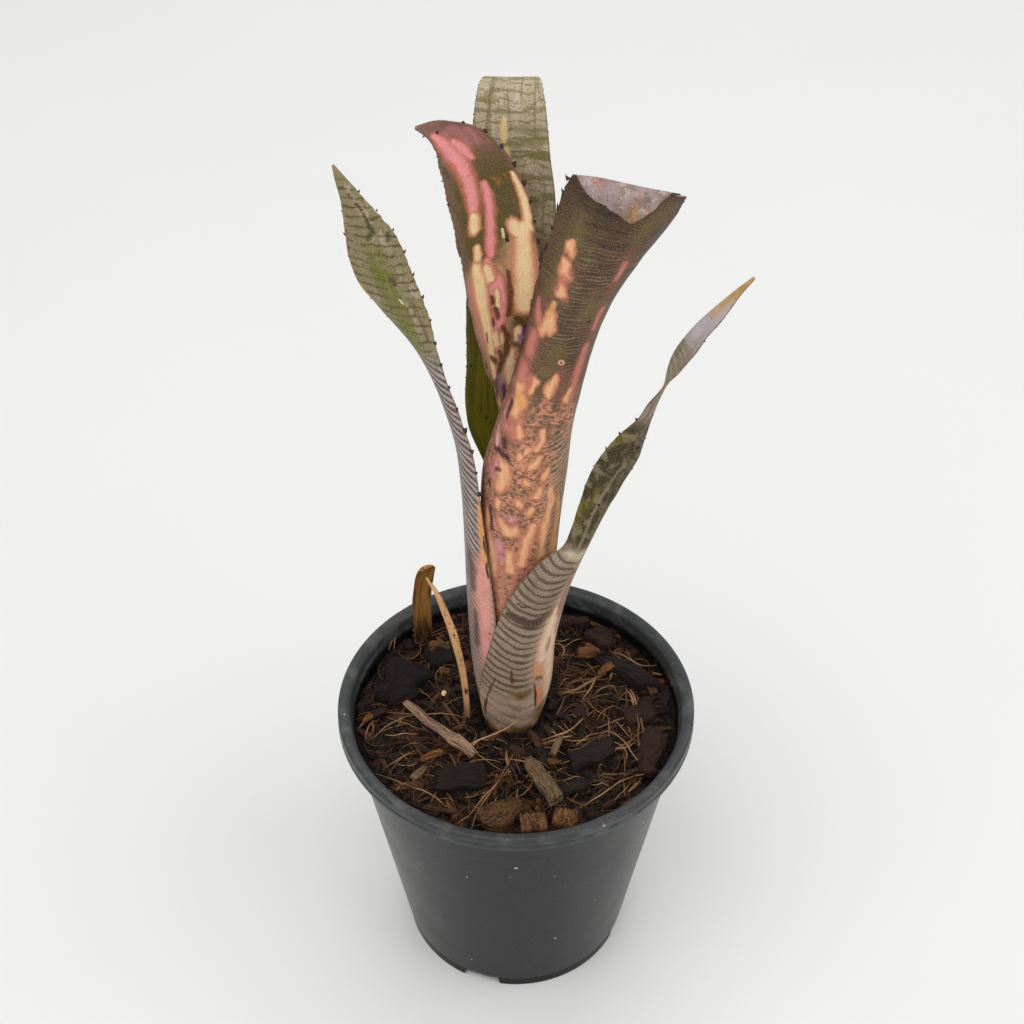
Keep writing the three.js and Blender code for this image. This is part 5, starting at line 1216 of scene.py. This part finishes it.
# Strands on the mix: points in plan, height above the mix or "rim" and radius.
strands = [
    {"plan": [(-58.5, 0.5), (-53, 1.8), (-38, -0.4), (-28, 0), (-21, -0.8), (-13, -3.3)], "lift": 2.6, "radius": 0.30},
    {"plan": [(-52, -12), (-48.5, -7.7), (-42.7, -3.3), (-38, -1.6), (-33, -1)], "lift": 2.0, "radius": 0.26},
    {"plan": [(-47.6, -26), (-43, -23), (-35, -17)], "lift": 2.0, "radius": 0.28},
    {"plan": [(-50, -29), (-43, -32.3), (-37, -35.6), (-31, -37.4), (-24.4, -42.3), (-20, -44.5)], "lift": 2.0,
     "radius": 0.42},
    {"plan": [(-20.7, -50.2), (-15, -46), (-11.3, -39.4), (-7.2, -35), (-3.7, -26.6), (0, -16.5)], "lift": 2.4,
     "radius": 0.42},
    {"plan": [(-15.5, -53), (-13.4, -46), (-9.5, -38), (-7.5, -33)], "lift": 2.2, "radius": 0.45},
    {"plan": [(0.5, -10.5), (-4.4, -12.6), (-9.4, -13.6), (-15.4, -15.5), (-21, -19.5)], "lift": 5.5, "radius": 0.36,
     "ends": (10.0, 1.0), "pale": 1.0},
    {"plan": [(-11.5, -12.5), (-14.4, -15), (-17.6, -18.4)], "lift": 2.5, "radius": 0.40, "ends": (3.5, 0.5), "pale": 0.8},
    {"plan": [(-15, -10.6), (-10.2, -11.4), (-6, -11.8), (-3, -14)], "lift": 2.6, "radius": 0.30},
    {"plan": [(-6.7, -21), (-2, -22), (3, -24.2), (6, -25.8)], "lift": 2.2, "radius": 0.32},
    {"plan": [(-17, -16), (-10.8, -22.6), (-5, -28.5)], "lift": 1.8, "radius": 0.34},
    {"plan": [(13.5, -6), (15.4, 1), (18.6, 8.5)], "lift": 1.8, "radius": 0.24},
    {"plan": [(24.6, 7), (29, 15.4), (33, 23.6)], "lift": 3.0, "radius": 0.62},
    {"plan": [(21, -43), (26.4, -40.5), (31.8, -37), (36, -34), (43, -30.8), (51.5, -28)], "lift": 3.0, "radius": 0.36,
     "ends": (0.0, 3.5)},
    {"plan": [(51, -28.2), (55, -26.6), (59, -25)], "lift": 6.5, "radius": 0.22, "ends": (0.6, 1.6)},
    {"plan": [(25.7, -29.6), (32.3, -28), (38.2, -28), (46.7, -28.6), (51.5, -30.8)], "lift": 2.4, "radius": 0.28},
    {"plan": [(15.5, -22.3), (23, -21.3), (26, -22.3), (30.5, -24.4)], "lift": 3.0, "radius": 0.55, "pale": 0.7},
    {"plan": [(25.6, -20.7), (32.3, -18), (39.4, -16.4), (43.6, -13.8)], "lift": 3.0, "radius": 0.42},
    {"plan": [(20.7, -15.7), (26, -12), (31.6, -9)], "lift": 2.6, "radius": 0.42},
    {"plan": [(21, -17.6), (28.4, -13), (33.7, -10), (39, -14.4), (42.7, -21), (46.3, -27.6)], "lift": 3.2,
     "radius": 0.36},
    {"plan": [(29.3, -2.8), (31.6, 0.7), (35.8, 2.8), (39.3, 0.7), (42, -4)], "lift": 2.6, "radius": 0.26},
    {"plan": [(39, -14), (38.8, -24.4), (38, -32), (38.2, -38.3)], "lift": 2.4, "radius": 0.24},
    {"plan": [(35, 32.7), (39.3, 30.8), (43.4, 27.8), (47.6, 25.2), (54.6, 24.8)], "lift": 3.4, "radius": 0.62,
     "pale": 0.5},
    {"plan": [(38, 29), (43.3, 24.4), (48.2, 18.5)], "lift": 2.8, "radius": 0.55},
    {"plan": [(14.9, 11.3), (22, 11.6), (27.4, 15.6), (32.4, 20), (35.6, 22.2)], "lift": 2.6, "radius": 0.8},
    {"plan": [(14.9, 10), (22, 10.6), (28, 13.4)], "lift": 2.2, "radius": 0.5},
    {"plan": [(8.6, -12), (14.8, -10.7), (20, -8), (24.2, -3), (29.5, 3)], "lift": 2.2, "radius": 0.5},
    {"plan": [(10, -13), (16.4, -12), (20.8, -9.6)], "lift": 2.0, "radius": 0.4},
    {"plan": [(35.4, 17.8), (36.4, 20.4), (38.2, 20), (39.5, 21)], "lift": 3.2, "radius": 0.5, "pale": 1.0},
    {"plan": [(28.7, 10), (32, 12.7), (37, 14), (37.5, 11.3)], "lift": 2.8, "radius": 0.3},
    {"plan": [(49.4, 4.2), (47, -0.7), (44.3, -9.7), (44.4, -17.8), (45.7, -21)], "lift": 3.4, "radius": 0.42,
     "pale": 0.5},
    {"plan": [(43, 12.7), (44.5, 6), (45.5, -1.6), (46, -9), (47.6, -15)], "lift": 3.0, "radius": 0.7, "pale": 0.6},
    {"plan": [(42, 11), (43.4, 5), (44.4, -2), (44.2, -10)], "lift": 3.4, "radius": 0.55, "pale": 0.5},
    {"plan": [(41, 14), (43.5, 7), (43.6, 0), (45.4, -6), (49, -10)], "lift": 2.8, "radius": 0.5, "pale": 0.6},
    {"plan": [(45.5, 11), (45.6, 5), (46.6, 0), (47.5, -6)], "lift": 3.0, "radius": 0.5, "pale": 0.4},
    {"plan": [(57, 21), (58.3, 16), (58, 11.5)], "lift": 7.0, "radius": 0.2, "ends": (3.0, 2.0)},
    {"plan": [(-58.5, 25), (-57, 29), (-53.5, 31)], "lift": 7.2, "radius": 0.26, "ends": (4.0, 4.0)},
    {"plan": [(-47, 34), (-46.5, 38), (-45, 43)], "lift": 4.5, "radius": 0.4, "ends": (0.0, 3.0)},
    {"plan": [(-49, 33), (-47.6, 36), (-48, 41)], "lift": 4.0, "radius": 0.34, "ends": (0.5, 2.0)},
    {"plan": [(-57.5, -6), (-53.5, -2), (-52, -9)], "lift": 2.5, "radius": 0.5},
    {"plan": [(-55, -12), (-53.6, -5), (-50.6, -1.5)], "lift": 2.2, "radius": 0.4},
]


def strandPoints(spec):
    knots = np.array(spec["plan"], float)
    count = 14
    xy = smoothRows(knots, np.linspace(0, 1, count))
    ground = soilHeights(xy).max() if spec.get("level") else soilHeights(xy)
    rise = np.linspace(0, 1, count)
    ends = spec.get("ends", (0.3, 0.3))
    arch = np.sin(rise * math.pi) * spec["lift"] * 0.5 + ends[0] * (1 - rise) ** 2 + ends[1] * rise ** 2
    smoothGround = np.convolve(np.pad(ground, 2, "edge"), np.ones(5) / 5, "valid")
    return np.concatenate([xy, (smoothGround + 0.9 + arch)[:, None]], 1)


def looseStrands():  # short fibres that lie about at random
    draw = random.Random(31)
    found = []
    while len(found) < soil["looseStrands"]:
        angle, reach = draw.uniform(0, 2 * math.pi), 57 * math.sqrt(draw.random())
        length, heading, bend = draw.uniform(5, 20), draw.uniform(0, 2 * math.pi), draw.gauss(0, 0.09)
        point = np.array([reach * math.cos(angle), reach * math.sin(angle)])
        path = [tuple(point)]
        for _ in range(5):
            heading += bend * length / 5 + draw.gauss(0, 0.12)
            point = point + length / 5 * np.array([math.cos(heading), math.sin(heading)])
            path.append(tuple(point))
        away = np.array(path)
        clear = np.hypot(away[:, 0] - tubeCentre[0], away[:, 1] - tubeCentre[1]).min() > 15.2
        if clear and np.hypot(away[:, 0], away[:, 1]).max() < 57.6:
            found.append({"plan": path, "lift": draw.uniform(0.2, 2.6), "radius": draw.uniform(0.11, 0.26),
                          "ends": (draw.uniform(-0.6, 1.2), draw.uniform(-0.6, 2.2)), "pale": draw.random() ** 2 * 0.9})
    return found


def strandTree():
    tree, given = newTree("strandTubes", {"Sides": "Int", "Seed": "Int", "Material": "Material"})
    curve = addNode(tree, "GeometryNodeMeshToCurve", {0: given["Geometry"]})
    spot = addNode(tree, "GeometryNodeInputPosition")
    wobble = addNode(tree, "ShaderNodeTexNoise", {"Vector": spot.outputs[0], "Scale": 260.0, "Detail": 1.0})
    centred = addNode(tree, "ShaderNodeVectorMath", {0: wobble.outputs["Color"], 1: (0.5, 0.5, 0.5)}, operation="SUBTRACT")
    small = addNode(tree, "ShaderNodeVectorMath", {0: centred.outputs[0], "Scale": 0.0011}, operation="SCALE")
    moved = addNode(tree, "GeometryNodeSetPosition", {"Geometry": curve.outputs[0], "Offset": small.outputs[0]})
    width = addNode(tree, "GeometryNodeInputNamedAttribute", {"Name": "width"}, data_type="FLOAT")
    sized = addNode(tree, "GeometryNodeSetCurveRadius", {"Curve": moved.outputs[0], "Radius": width.outputs[0]})
    ring = addNode(tree, "GeometryNodeCurvePrimitiveCircle", {"Resolution": given["Sides"], "Radius": 1.0})
    tube = addNode(tree, "GeometryNodeCurveToMesh", {
        "Curve": sized.outputs[0], "Profile Curve": ring.outputs[0], "Fill Caps": True,
        "Scale": width.outputs[0]})
    smooth = addNode(tree, "GeometryNodeSetShadeSmooth", {0: tube.outputs[0]})
    return endTree(tree, smooth.outputs[0], given["Material"])


def strandLook():
    look = Look("coir_fibre")
    point = look.objectPoint()
    pale = look.attribute("pale")
    patch = look.noise(point, 90.0, 3.0, 0.6)
    tone = look.math("ADD", look.math("MULTIPLY", pale, 0.7), look.math("MULTIPLY", patch, 0.8))
    base = look.mix(look.step(tone, 0.25, 0.55), "#22130a", "#5a3619")
    base = look.mix(look.step(tone, 0.62, 1.15), base, "#bd9669")
    fine = look.noise(point, 1800.0, 3.0, 0.6)
    base = look.mix(look.math("MULTIPLY", look.step(fine, 0.5, 0.7), 0.3), base, "#3a2312")
    return look.finish(base, 0.6, fine, 0.0002, 0.3)


def makeStrands():
    points, edges, widths, pales = [], [], [], []
    for spec in strands + looseStrands():
        path = strandPoints(spec)
        first = len(points)
        points += [tuple(p) for p in path * millimetre]
        edges += [(first + k, first + k + 1) for k in range(len(path) - 1)]
        taper = 1 - 0.75 * np.abs(np.linspace(-1, 1, len(path))) ** 3
        widths += list(taper * 0.72 * spec["radius"] * millimetre)
        pales += [spec.get("pale", 0.6)] * len(path)
    mesh = bpy.data.meshes.new("strandPaths")
    mesh.from_pydata(points, edges, [])
    paths = bpy.data.objects.new("strandPaths", mesh)
    shown.link(paths)
    storeNumbers(paths, "width", widths)
    storeNumbers(paths, "pale", pales)
    values = {"Sides": soil["strandSides"], "Seed": 3, "Material": strandLook()}
    piece = runTree(paths, strandTree(), values, "mix_fibres")
    place(piece, "potting_mix")
    print("fibres", len(piece.data.polygons), "faces")


# Bark on the mix: the places and sizes of the frame's pieces, each with its own kind of wood.
woods = {
    "clod": {"tones": ("#100a0a", "#1f1413", "#33231f"), "lumps": (0.22, 1.9), "ridge": (1.4, 0.45), "ragged": 1.2,
             "stretch": 0.8, "slot": "dark_bark"},
    "dark": {"tones": ("#100a09", "#241715", "#3f2c25"), "lumps": (0.14, 1.4), "ridge": (1.1, 0.35), "ragged": 1.8,
             "stretch": 0.12, "slot": "dark_bark"},
    "rust": {"tones": ("#1b0f0c", "#351f17", "#523326"), "lumps": (0.2, 1.6), "ridge": (1.0, 0.35), "ragged": 1.4,
             "stretch": 0.3, "slot": "dark_bark"},
    "brown": {"tones": ("#24150d", "#5a3a22", "#8f673e"), "lumps": (0.15, 1.4), "ridge": (1.2, 0.4), "ragged": 2.2,
              "stretch": 0.12, "slot": "tan_bark"},
    "grey": {"tones": ("#33251a", "#7a6244", "#a88c68"), "lumps": (0.1, 0.6), "ridge": (1.3, 0.3), "ragged": 2.4,
             "stretch": 0.07, "slot": "tan_bark"},
    "strip": {"tones": ("#5b4030", "#a08066", "#c4a688"), "lumps": (0.08, 0.5), "ridge": (1.6, 0.22), "ragged": 2.6,
              "stretch": 0.05, "slot": "tan_bark"},
    "orange": {"tones": ("#33200f", "#7a4e28", "#b57e44"), "lumps": (0.2, 1.2), "ridge": (1.3, 0.35), "ragged": 1.6,
               "stretch": 0.1, "slot": "tan_bark"},
    "ribbed": {"tones": ("#120a06", "#6b4629", "#c08d58"), "lumps": (0.1, 0.4), "ridge": (1.1, 0.7), "ragged": 0.9,
               "stretch": 0.06, "slot": "tan_bark"},
}
barkPieces = [
    {"wood": "clod", "at": (-43, 14, 108.6), "size": (24, 17, 6), "turn": (70, 3, 4)},
    {"wood": "clod", "at": (-27.4, 29.6, 109), "size": (14, 9, 5), "turn": (20, -6, 5)},
    {"wood": "strip", "at": (-28, -9, 111), "size": (36, 4.2, 1.8), "turn": (-43, 3, 12)},
    {"wood": "dark", "at": (-20, -31, 109.4), "size": (18, 11, 3.6), "turn": (12, 4, 6)},
    {"wood": "brown", "at": (-4.8, -47, 109.4), "size": (18, 11, 5), "turn": (35, 5, 0)},
    {"wood": "grey", "at": (9, -33, 110.6), "size": (25, 7, 4), "turn": (-66, -8, 8)},
    {"wood": "ribbed", "at": (5.8, -52, 108.6), "size": (9.6, 7.4, 7), "turn": (4, 0, 10)},
    {"wood": "ribbed", "at": (16.6, -50.4, 109.2), "size": (8.4, 8, 7.4), "turn": (-14, 0, 10)},
    {"wood": "rust", "at": (32.6, 39.2, 109), "size": (13, 10, 4.4), "turn": (-30, 0, -6)},
    {"wood": "orange", "at": (27.4, 29.6, 110.4), "size": (7.6, 11, 4), "turn": (-20, 0, -28)},
    {"wood": "rust", "at": (19, 46.6, 109.4), "size": (19, 6.4, 4.4), "turn": (6, -4, 0)},
    {"wood": "dark", "at": (43, 20, 109.2), "size": (28, 8.6, 4.6), "turn": (-38, -3, 0)},
    {"wood": "rust", "at": (45.4, -0.4, 108.8), "size": (13, 11, 4), "turn": (12, 0, 0)},
    {"wood": "rust", "at": (48.4, -20, 109), "size": (22, 8, 4.2), "turn": (72, 2, 0)},
    {"wood": "dark", "at": (27.6, -20, 108.8), "size": (19, 8.4, 4), "turn": (28, 2, 0)},
]
# Loose bits that the frame leaves to this file.
looseBits = [
    {"wood": "brown", "at": (-30, 31, 110.5), "size": (11, 4.6, 1.6), "turn": (18, -8, 10)},
    {"wood": "orange", "at": (-31.6, 33.4, 111.4), "size": (4.4, 3, 1.2), "turn": (-10, -6, 20)},
    {"wood": "strip", "at": (-37.6, 43.4, 109.4), "size": (6, 1.6, 1.2), "turn": (0, 0, 0)},
    {"wood": "orange", "at": (-30, -20, 108.6), "size": (10.5, 3.4, 1.4), "turn": (28, 4, 0)},
    {"wood": "grey", "at": (-34.4, -28, 108.4), "size": (9.5, 3, 1.4), "turn": (56, 2, 0)},
    {"wood": "brown", "at": (-38, -34.4, 108.6), "size": (13, 3.6, 1.6), "turn": (14, 0, 8)},
    {"wood": "grey", "at": (14.8, -16.4, 109.6), "size": (10, 2.8, 1.4), "turn": (70, -12, 0)},
    {"wood": "rust", "at": (24, 1.2, 108.8), "size": (8, 4.4, 1.6), "turn": (84, 0, 0)},
    {"wood": "orange", "at": (33.4, 20.6, 110.6), "size": (8, 3.6, 1.2), "turn": (38, -10, 10)},
    {"wood": "dark", "at": (49, 6, 109.2), "size": (9, 3.6, 2), "turn": (30, 0, 8)},
    {"wood": "brown", "at": (50, 13, 109.4), "size": (9, 3.4, 1.6), "turn": (-60, 0, 8)},
    {"wood": "dark", "at": (19, -36, 108.6), "size": (15, 5, 2.4), "turn": (30, 0, 0)},
    {"wood": "rust", "at": (-51, 0, 108.8), "size": (8, 3.4, 1.6), "turn": (40, 0, 0)},
    {"wood": "orange", "at": (-54.6, -3, 109.4), "size": (6, 2.4, 1.2), "turn": (55, 4, 0)},
    {"wood": "dark", "at": (-14, 44, 109.2), "size": (12, 6, 3.4), "turn": (60, 0, 10)},
    {"wood": "rust", "at": (-8, 49, 109.6), "size": (11, 6, 4), "turn": (-20, 0, 0)},
    {"wood": "dark", "at": (6, 44, 108.8), "size": (13, 7, 3.4), "turn": (12, 0, 0)},
]


def woodLook(kind):
    wood = woods[kind]
    look = Look("bark_" + kind)
    local = look.attribute("grain", "Vector")
    point = look.objectPoint()
    along = wood["stretch"]
    scale = (1.0, along, along) if kind == "ribbed" else (along, 1.0, 1.0)
    line = look.noise(look.stretch(local, scale), 1.5, 4.0, 0.6)
    fine = look.noise(look.stretch(local, tuple(min(1.0, 2 * s) for s in scale)), 5.5, 3.0, 0.65)
    patch = look.noise(local, 0.22, 3.0, 0.6)
    low, middle, high = wood["tones"]
    base = look.mix(look.step(line, 0.38, 0.56), low, middle)
    base = look.mix(look.math("MULTIPLY", look.step(fine, 0.5, 0.68), 0.8), base, high)
    base = look.mix(look.math("MULTIPLY", look.step(fine, 0.46, 0.32), 0.7), base, low)
    base = look.mix(look.math("MULTIPLY", look.step(patch, 0.5, 0.72), 0.5), base, middle if kind == "clod" else low)
    crumb = look.noise(point, 1300.0, 3.0, 0.65)
    base = look.mix(look.math("MULTIPLY", look.step(crumb, 0.58, 0.75), 0.35), base, high)
    height = look.math("ADD", look.math("MULTIPLY", line, 0.6), look.math("ADD", look.math("MULTIPLY", fine, 0.8),
                       look.math("MULTIPLY", crumb, 0.35)))
    return look.finish(base, 0.8, height, 0.0007, 0.25)


def barkChunk(name, spec, seed, material):
    wood = woods[spec["wood"]]
    length, width, thick = spec["size"]
    around, stations, caps = (72, 56, 9) if length > 11.5 else (56, 34, 7)
    turn = np.linspace(0, 2 * math.pi, around, endpoint=False)
    power = 0.45
    ringY = np.sign(np.cos(turn)) * np.abs(np.cos(turn)) ** power * width / 2
    ringZ = np.sign(np.sin(turn)) * np.abs(np.sin(turn)) ** power * thick / 2
    shares = [(-1, s) for s in np.linspace(0, 1, caps, endpoint=False)][1:]
    shares += [(u, 1.0) for u in np.linspace(-1, 1, stations)]
    shares += [(1, s) for s in np.linspace(1, 0, caps)][1:-1]
    rows = [np.stack([np.full(around, u * length / 2), s * ringY, s * ringZ], -1) for u, s in shares]
    points = np.concatenate(rows + [[[-length / 2, 0, 0], [length / 2, 0, 0]]])
    rate, size = wood["lumps"]
    push = np.stack([roughness3(points, rate, seed + k) for k in range(3)], -1) * min(size, thick * 0.28)
    warp = np.stack([roughness3(points * [1, 1, 0.3], 0.12, seed + 20 + k) for k in range(2)], -1) * width * (0.24 if spec["wood"] != "ribbed" else 0.04)
    push[:, :2] += warp
    along = points[:, :1] / length
    narrow = np.ones_like(along) if spec["wood"] == "ribbed" else 1 - 0.34 * np.abs(2 * along) ** 3 + 0.5 * math.sin(seed * 2.4) * along
    taper = 1 - (1 - narrow * (1 - 0.3 * np.abs(roughness3(points * [1, 0, 0], 0.12, seed + 5))[:, None])) * [0, 1, 1]
    grainRate = np.array([wood["stretch"], 1, 1]) if spec["wood"] != "ribbed" else np.array([1, 0.06, 0.06])
    ridge = roughness3(points * grainRate, wood["ridge"][0], seed + 9) + 0.5 * roughness3(points * grainRate, 2.6, seed + 3)
    away = points * [0, 1 / (width * width), 1 / (thick * thick)]
    away = away / np.maximum(1e-6, np.linalg.norm(away, axis=1, keepdims=True))
    torn = roughness3(points * [0.05, 1, 1], 0.55, seed + 12) + 0.6 * roughness3(points * [0.05, 1, 1], 1.7, seed + 14)
    reach = (np.abs(points[:, 0]) / (length / 2)) ** 6
    shaped = points * taper + push * [1, 1, 1] + away * (ridge * min(wood["ridge"][1], thick * 0.13))[:, None]
    shaped[:, 0] -= np.sign(points[:, 0]) * (np.abs(torn) * wood["ragged"] + 0.2) * reach
    faces = []
    count = len(rows)
    for r in range(count - 1):
        for k in range(around):
            n = (k + 1) % around
            faces.append((r * around + k, r * around + n, (r + 1) * around + n, (r + 1) * around + k))
    left, right = count * around, count * around + 1
    faces += [(left, (k + 1) % around, k) for k in range(around)]
    base = (count - 1) * around
    faces += [(right, base + k, base + (k + 1) % around) for k in range(around)]
    tilt = Euler([math.radians(a) for a in reversed(spec["turn"])]).to_matrix()
    world = shaped @ np.array(tilt).T + np.array(spec["at"])
    made = meshObject(name, world, [tuple(reversed(face)) for face in faces], material)
    storeNumbers(made, "grain", points + [seed * 5.3, 0, seed * 2.1])
    return made


def makeBark():
    looks = {kind: woodLook(kind) for kind in woods}
    for k, spec in enumerate(barkPieces):
        piece = barkChunk(f"bark_{k + 1}_chunk", spec, k + 1, looks[spec["wood"]])
        place(piece, woods[spec["wood"]]["slot"], f"bark_{k + 1}")
    for k, spec in enumerate(looseBits):
        piece = barkChunk(f"loose_bit_{k + 1}", spec, 40 + k, looks[spec["wood"]])
        place(piece, "potting_mix")
    print("bark", len(barkPieces), "pieces and", len(looseBits), "loose bits")


def makeSeeds():  # a cream seed and two grains of perlite
    look = Look("pale_grain")
    point = look.objectPoint()
    cloud = look.noise(point, 700.0, 4.0, 0.6)
    base = look.mix(look.step(cloud, 0.35, 0.7), "#cdb487", "#efe3c4")
    material = look.finish(base, 0.55, cloud, 0.0003, 0.35)
    for name, at, size, turn in (("seed", (-26.8, 9.0), (2.8, 1.9, 1.4), 80), ("perlite_1", (-34.4, 20.4), (3.0, 1.8, 1.6), 25),
                                 ("perlite_2", (36.6, 24.0), (1.8, 1.6, 1.4), 60)):
        mesh = bmesh.new()
        bmesh.ops.create_icosphere(mesh, subdivisions=4, radius=0.5)
        rough = 0.05 if name == "seed" else 0.22
        height = float(soilHeights([at])[0]) + 2.2
        spin = Euler((0.2, 0.1, math.radians(turn))).to_matrix()
        for v in mesh.verts:
            p = v.co * (1 + rough * noise.noise(v.co * 4 + Vector(at + (0,))))
            v.co = (spin @ Vector((p.x * size[0], p.y * size[1], p.z * size[2])) + Vector((*at, height))) * millimetre
        data = bpy.data.meshes.new(name)
        mesh.to_mesh(data)
        mesh.free()
        data.shade_smooth()
        data.materials.append(material)
        piece = bpy.data.objects.new(name, data)
        shown.link(piece)
        place(piece, "potting_mix")


def stemLook():
    look = Look("stem_fibre")
    point = look.objectPoint()
    fibre = look.noise(look.stretch(point, (900.0, 900.0, 60.0)), 1.0, 4.0, 0.6)
    base = look.mix(look.step(fibre, 0.35, 0.65), "#3a2415", "#7a5330")
    return look.finish(base, 0.75, fibre, 0.0005, 0.3)


makeLeaves()
makePot()
makeSoil()
makeStrands()
makeBark()
makeSeeds()

# Floor, light and camera.
studio = {"floorSize": 8.0, "floorTone": "#e3e3e2", "worldTone": "#f6f6f5", "worldStrength": 0.63}


def makeStudio():
    look = Look("floor")
    point = look.objectPoint()
    base = look.mix(look.noise(point, 6.0, 3.0), studio["floorTone"], "#e6e6e5")
    material = look.finish(base, 0.7, look.noise(point, 300.0, 3.0), 0.00005, 0.2)
    size = studio["floorSize"] / 2 / millimetre
    floor = meshObject("floor", [(-size, -size, 0), (size, -size, 0), (size, size, 0), (-size, size, 0)],
                       [(0, 1, 2, 3)], material, False)
    world = bpy.data.worlds.new("studio")
    bpy.context.scene.world = world
    world.use_nodes = True
    shade = world.node_tree.nodes["Background"]
    shade.inputs["Color"].default_value = colour(studio["worldTone"])
    shade.inputs["Strength"].default_value = studio["worldStrength"]
    for name, at, size, power in (("key", (-0.6, -0.8, 1.8), 2.0, 21), ("fill", (1.3, -0.4, 1.2), 1.6, 9),
                                  ("back", (0.2, 1.5, 1.5), 1.6, 9)):
        data = bpy.data.lights.new(name, "AREA")
        data.shape, data.size, data.energy = "SQUARE", size, power
        lamp = bpy.data.objects.new(name, data)
        lamp.location = at
        lamp.rotation_euler = (Vector((0, 0, 0.15)) - Vector(at)).to_track_quat("-Z", "Y").to_euler()
        shown.link(lamp)


def makeCamera():
    view = {"at": (-0.00148, -0.3967, 0.5389), "pitch": 49.96, "field": 36.0}
    data = bpy.data.cameras.new("camera")
    data.sensor_width = 36.0
    data.lens = 18.0 / math.tan(math.radians(view["field"] / 2))
    data.clip_start, data.clip_end = 0.01, 50
    camera = bpy.data.objects.new("camera", data)
    camera.location = view["at"]
    camera.rotation_euler = Euler((math.radians(view["pitch"]), 0, 0))
    shown.link(camera)
    bpy.context.scene.camera = camera


makeStudio()
makeCamera()
stem = frame["nodes"]["stem_base"]
for slot in range(max(1, len(stem.material_slots))):
    stem.material_slots[slot].material = stemLook()
bpy.context.scene.view_settings.view_transform = "Standard"
for name, node in frame["nodes"].items():
    if not node.hide_render:
        print("CAD node still shown:", name)
